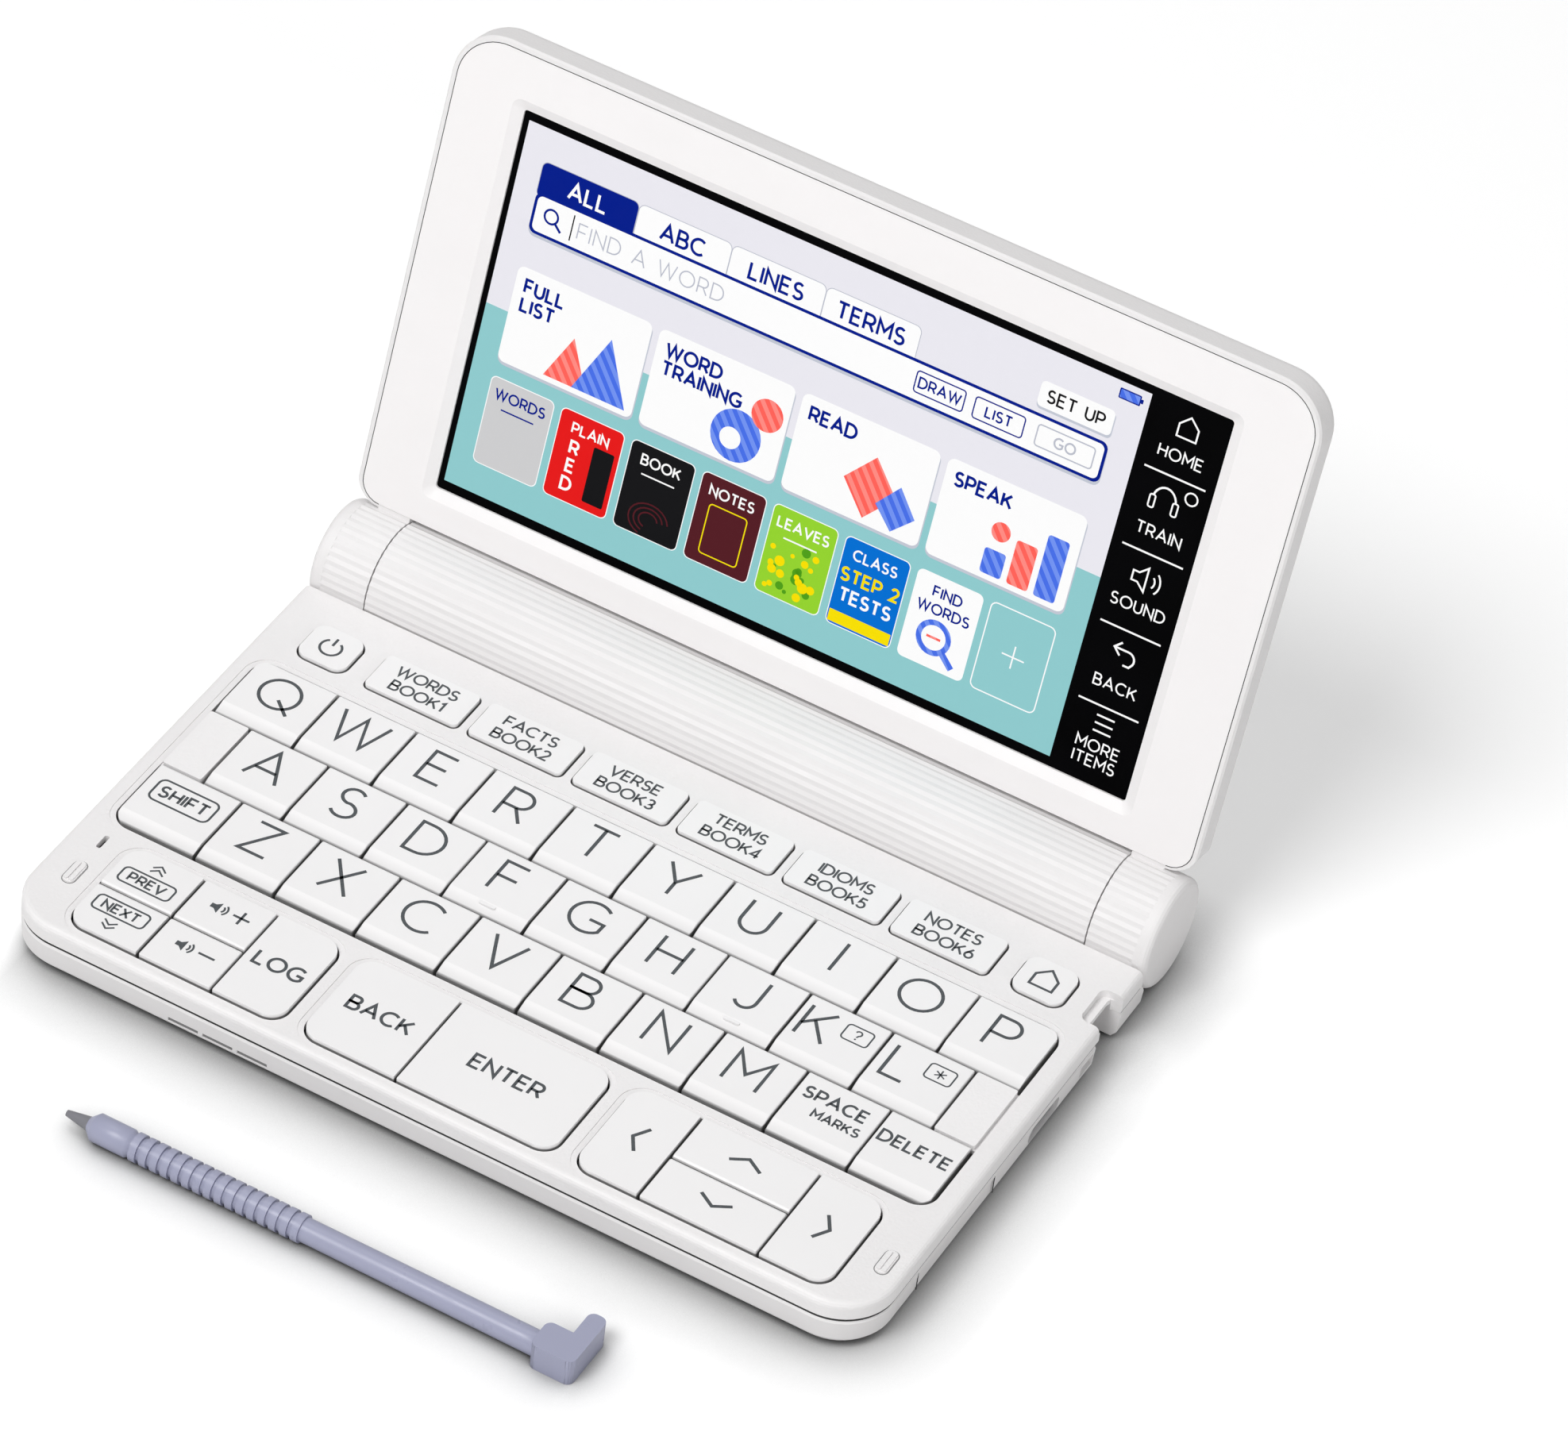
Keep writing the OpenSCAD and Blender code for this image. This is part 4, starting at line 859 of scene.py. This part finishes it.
def page_cards():
    """Four white cards, each with a word and a picture of plain striped shapes."""
    lefts = [PAGE_LEFT + CARD_PITCH * k for k in range(len(CARD_WORDS))]
    for x0, words in zip(lefts, CARD_WORDS):
        x1 = x0 + CARD_W
        on("shade", 1).area(rounded(x0, x1 + 0.2, CARD_LOW - 0.5, CARD_HIGH - 0.3, CARD_R + 0.1))
        on("white", 2).area(rounded(x0, x1, CARD_LOW, CARD_HIGH, CARD_R))
        for line, word in enumerate(words):
            write(on("navy", 3), word, x0 + 1.8, CARD_TEXT_Y - CARD_LINE_STEP * line, *CARD_TYPE, start=True)
    # triangles
    x = lefts[0]
    on("coral", 3).area([(x + 8, 23.8), (x + 15.5, 23.8), (x + 11.7, 31.6)])
    on("blue", 4).area([(x + 13, 23.8), (x + 22.4, 23.8), (x + 17.7, 34.0)])
    # discs
    x = lefts[1]
    on("blue", 3).area(ring(x + 16.0, 27.7, 4.3))
    on("coral", 4).area(ring(x + 20.2, 33.0, 2.7))
    on("white", 4).area(ring(x + 15.2, 27.0, 1.8))
    # leaning squares
    x = lefts[2]
    on("coral", 3).area([(x + 9.5, 29), (x + 14, 34.2), (x + 18.5, 29), (x + 14, 23.8)])
    on("blue", 4).area([(x + 15.5, 27), (x + 18.9, 31.2), (x + 22.3, 27), (x + 18.9, 23.6)])
    # bars and a disc
    x = lefts[3]
    bar_low, bar_w, bar_pitch = 23.8, 3.6, 4.6
    for number, (colour, high) in enumerate((("blue", 4.2), ("coral", 7.4), ("blue", 10.4))):
        x0 = x + 9.2 + bar_pitch * number
        on(colour, 3).area(rounded(x0, x0 + bar_w, bar_low, bar_low + high, 0.5))
    on("coral", 3).area(ring(x + 11.0, 31.2, 1.6))


def tile_rule(x0, x1, line):
    on(line, 3).ribbon([(x0 + 2.6, 15.2), (x1 - 2.6, 15.2)], 0.25)


def tile_panel(x0, x1):
    on("black", 3).area(rounded(x0 + 6.6, x1 - 0.8, 6.6, 16.0, 0.3))
    for number, letter in enumerate("RED"):
        write(on("white", 3), letter, x0 + 3.4, 14.4 - 3.1 * number, *TITLE_TYPE)


def tile_arcs(x0, mid):
    for r in (1.6, 2.5, 3.4):
        on("maroon", 3).ribbon(arc(mid, 8.2, r, r * 0.8, 10, 250, 16), 0.25)


def tile_leaves(x0, chance):
    for number in range(LEAF_COUNT):
        x, y = x0 + 0.9 + 9.2 * chance.random(), 6.2 + 8.2 * chance.random()
        leaf = ring(x, y, 0.3 + 0.6 * chance.random(), 12)
        on("yellow" if number % 3 else "leaf", 3 + number % 3).area(leaf)


def tile_band(x0, x1, mid):
    on("yellow", 3).area([(x0 + 0.2, 5.6), (x1 - 0.2, 5.6), (x1 - 0.2, 7.6), (x0 + 0.2, 7.6)])
    write(on("yellow", 3), "STEP 2", mid, 14.0, *TITLE_TYPE)
    write(on("white", 3), "TESTS", mid, 10.6, *TITLE_TYPE)


def tile_lens(x0, mid):
    write(on("navy", 3), "WORDS", mid, 14.8, *SMALL_WORD)
    on("blue", 3).ribbon(ring(x0 + 5.0, 10.2, 2.5), 0.9, True)
    on("blue", 3).ribbon([(x0 + 6.8, 8.4), (x0 + 9.0, 6.4)], 1.1)
    on("coral", 3).ribbon([(x0 + 3.8, 10.2), (x0 + 6.2, 10.2)], 0.4)


def page_shelf():
    """Seven coloured tiles, each with a word and a plain pattern, and an empty place with a plus sign."""
    chance = random.Random(LEAF_SEED)
    for k, (word, colour) in enumerate(TILES):
        x0 = PAGE_LEFT + TILE_PITCH * k
        x1, mid = x0 + TILE_W, x0 + TILE_W / 2
        line = "navy" if colour in ("silver", "white") else "white"
        on("white", 1).area(rounded(x0 - TILE_EDGE, x1 + TILE_EDGE, TILE_LOW - TILE_EDGE,
                                    TILE_HIGH + TILE_EDGE, TILE_R + 0.1))
        on(colour, 2).area(rounded(x0, x1, TILE_LOW, TILE_HIGH, TILE_R))
        write(on(line, 4), word, mid, TILE_TEXT_Y, *SMALL_WORD)
        if colour in ("silver", "black", "green"):
            tile_rule(x0, x1, line)
        if colour == "red":
            tile_panel(x0, x1)
        elif colour == "maroon":
            on("yellow", 3).ribbon(rounded(x0 + 2.2, x1 - 2.2, 7.0, 15.4, 0.6), 0.2, True)
        elif colour == "black":
            tile_arcs(x0, mid)
        elif colour == "green":
            tile_leaves(x0, chance)
        elif colour == "sky_blue":
            tile_band(x0, x1, mid)
        elif colour == "white":
            tile_lens(x0, mid)
    x0 = PAGE_LEFT + TILE_PITCH * len(TILES)
    mid = x0 + TILE_W / 2
    on("white", 1).ribbon(rounded(x0, x0 + TILE_W, TILE_LOW, TILE_HIGH, 1.0), 0.2, True)
    on("white", 1).ribbon([(mid - 1.9, 12.7), (mid + 1.9, 12.7)], 0.24)
    on("white", 1).ribbon([(mid, 10.8), (mid, 14.6)], 0.24)


def touch_strip():
    """Five white icons with a word each on the black strip at the right of the page."""
    mid = STRIP_MIDDLE
    strip = on("white", 6)
    for y in STRIP_LINES:
        strip.ribbon([(mid - STRIP_HALF, y), (mid + STRIP_HALF, y)], 0.3)
    icon_home(strip, mid, 59.3, 1.6, 0.28)
    # headphones with a small disc
    ears = mid - 0.6
    strip.ribbon(arc(ears, 46.8, 1.9, 2.3, 10, 170, 12), 0.32)
    for x in (ears - 1.9, ears + 1.9):
        strip.ribbon(rounded(x - 0.45, x + 0.45, 45.2, 47.3, 0.3), 0.26, True)
    strip.ribbon(ring(mid + 3.4, 49.0, 1.0, 16), 0.26, True)
    # loudspeaker with two sound waves
    strip.ribbon([(mid - 2.2, 33.0), (mid - 1.2, 33.0), (mid + 0.1, 31.8), (mid + 0.1, 35.8),
                  (mid - 1.2, 34.6), (mid - 2.2, 34.6)], 0.28, True)
    for r in (1.0, 1.9):
        strip.ribbon(arc(mid + 0.5, 33.8, r, r * 1.15, -48, 48, 8), 0.28)
    icon_back(strip, mid, 20.4, 1.2, 0.32)
    # three bars
    for y in (9.9, 8.6, 7.3):
        strip.ribbon([(mid - 1.5, y), (mid + 1.5, y)], 0.3)
    for y, word in STRIP_WORDS:
        write(strip, word, mid, y, *STRIP_TYPE)


def build_page():
    """A generic home page: search box with tabs, four picture cards, a shelf of tiles and a touch strip."""
    mats = page_materials()
    page_top()
    page_cards()
    page_shelf()
    touch_strip()
    for (colour, _), sheet in sheets.items():
        sheet.make(mats[colour], "lid")


build_page()

# ---------------------------------------------------------------- floor, light and camera
FLOOR_HALF = 4.0
FLOOR_WHITE = (0.88, 0.88, 0.88)
FLOOR_ROUGH = 0.9
# the contact shadow: how far it reaches, how steeply it fades, and samples of it
CONTACT_REACH = 14 * MM
CONTACT_FADE = 1.3
CONTACT_SAMPLES = 8
# light that only the camera sees, which brings the floor up to white
FLOOR_LIFT = 0.185
# beside the left wall the floor has no contact shadow and more lift: where this ends in X and in Y
BRIGHT_SIDE = (-80 * MM, -70 * MM)
BRIGHT_REAR = (60 * MM, 160 * MM)
BRIGHT_GAIN = 1.5
WORLD_LIGHT = 0.37
LIGHT_TARGET = (0, 0, 0.03)
# name, place and width in metres, watts
LAMPS = (
    ("key", (-0.46, -1.40, 2.15), 1.25, 39.5),
    ("top", (-0.72, 0.51, 1.8), 0.85, 4.5),
    ("side", (1.5, -0.9, 0.9), 1.2, 6.0),
)
# camera fitted to the photo: angles in degrees, target and distance in millimetres from the front edge's middle
CAMERA_AZIMUTH = 23.88
CAMERA_ELEVATION = 42.84
CAMERA_ROLL = -7.96
CAMERA_TARGET = (-2.17, 113.24, 0)
CAMERA_DISTANCE = 1283.3
CLIP_START = 0.05
FOCAL_PIXELS = 10378
IMAGE_WIDTH = 1975
SENSOR = 36.0


def floor_material():
    """White with a soft contact shadow within a few millimetres of what stands on it."""
    m, tree, shader = new_material("floor_white")
    near = node(tree, "ShaderNodeAmbientOcclusion", Distance=CONTACT_REACH)
    near.samples = CONTACT_SAMPLES
    contact = maths(tree, "POWER", near.outputs["AO"], CONTACT_FADE)
    coords = object_coords(tree)
    shaded = maths(tree, "MAXIMUM", from_to(tree, along(tree, "X", coords), *BRIGHT_SIDE),
                   from_to(tree, along(tree, "Y", coords), *BRIGHT_REAR))
    ground = tree.nodes.new("ShaderNodeMixRGB")
    ground.inputs[1].default_value = (BRIGHT_GAIN, BRIGHT_GAIN, BRIGHT_GAIN, 1)
    tree.links.new(shaded, ground.inputs[0])
    tree.links.new(contact, ground.inputs[2])
    tree.links.new(ramp(tree, ground.outputs[0], (0, 0, 0), FLOOR_WHITE, 0, 1), shader.inputs["Base Color"])
    shader.inputs["Roughness"].default_value = FLOOR_ROUGH
    shader.inputs["Specular IOR Level"].default_value = 0.0
    seen = tree.nodes.new("ShaderNodeLightPath").outputs["Is Camera Ray"]
    lift = maths(tree, "MULTIPLY", maths(tree, "MULTIPLY", seen, FLOOR_LIFT), ground.outputs[0])
    glow = node(tree, "ShaderNodeEmission", Color=(1, 1, 1, 1))
    tree.links.new(lift, glow.inputs["Strength"])
    both = tree.nodes.new("ShaderNodeAddShader")
    tree.links.new(shader.outputs[0], both.inputs[0])
    tree.links.new(glow.outputs[0], both.inputs[1])
    tree.links.new(both.outputs[0], tree.nodes["Material Output"].inputs["Surface"])
    return m


def build_floor():
    size = FLOOR_HALF
    mesh = bpy.data.meshes.new("floor")
    mesh.from_pydata([(-size, -size, 0), (size, -size, 0), (size, size, 0), (-size, size, 0)], [], [(0, 1, 2, 3)])
    floor = bpy.data.objects.new("floor", mesh)
    bpy.context.scene.collection.objects.link(floor)
    floor.data.materials.append(floor_material())


def build_world():
    world = bpy.data.worlds.new("studio")
    bpy.context.scene.world = world
    world.use_nodes = True
    background = world.node_tree.nodes["Background"]
    background.inputs["Color"].default_value = (1, 1, 1, 1)
    background.inputs["Strength"].default_value = WORLD_LIGHT


def area_light(name, place, size, watts):
    data = bpy.data.lights.new(name, "AREA")
    data.shape = "DISK"
    data.size = size
    data.energy = watts
    lamp = bpy.data.objects.new(name, data)
    bpy.context.scene.collection.objects.link(lamp)
    lamp.location = place
    lamp.rotation_euler = (Vector(LIGHT_TARGET) - Vector(place)).to_track_quat("-Z", "Y").to_euler()


def build_camera():
    az, el, roll = (math.radians(a) for a in (CAMERA_AZIMUTH, CAMERA_ELEVATION, CAMERA_ROLL))
    back = Vector((math.sin(az) * math.cos(el), -math.cos(az) * math.cos(el), math.sin(el)))
    right = (-back).cross(Vector((0, 0, 1))).normalized()
    down = (-back).cross(right)
    x_axis = math.cos(roll) * right + math.sin(roll) * down
    y_axis = -(-math.sin(roll) * right + math.cos(roll) * down)
    target = Vector(CAMERA_TARGET) * MM + Vector((0, FRONT_Y, 0))
    data = bpy.data.cameras.new("camera")
    data.sensor_width = SENSOR
    data.lens = SENSOR * FOCAL_PIXELS / IMAGE_WIDTH
    data.clip_start = CLIP_START
    camera = bpy.data.objects.new("camera", data)
    bpy.context.scene.collection.objects.link(camera)
    turn = Matrix((x_axis, y_axis, back)).transposed().to_4x4()
    camera.matrix_world = Matrix.Translation(target + back * CAMERA_DISTANCE * MM) @ turn
    bpy.context.scene.camera = camera


build_floor()
build_world()
for lamp in LAMPS:
    area_light(*lamp)
build_camera()
bpy.context.scene.view_settings.view_transform = "Standard"
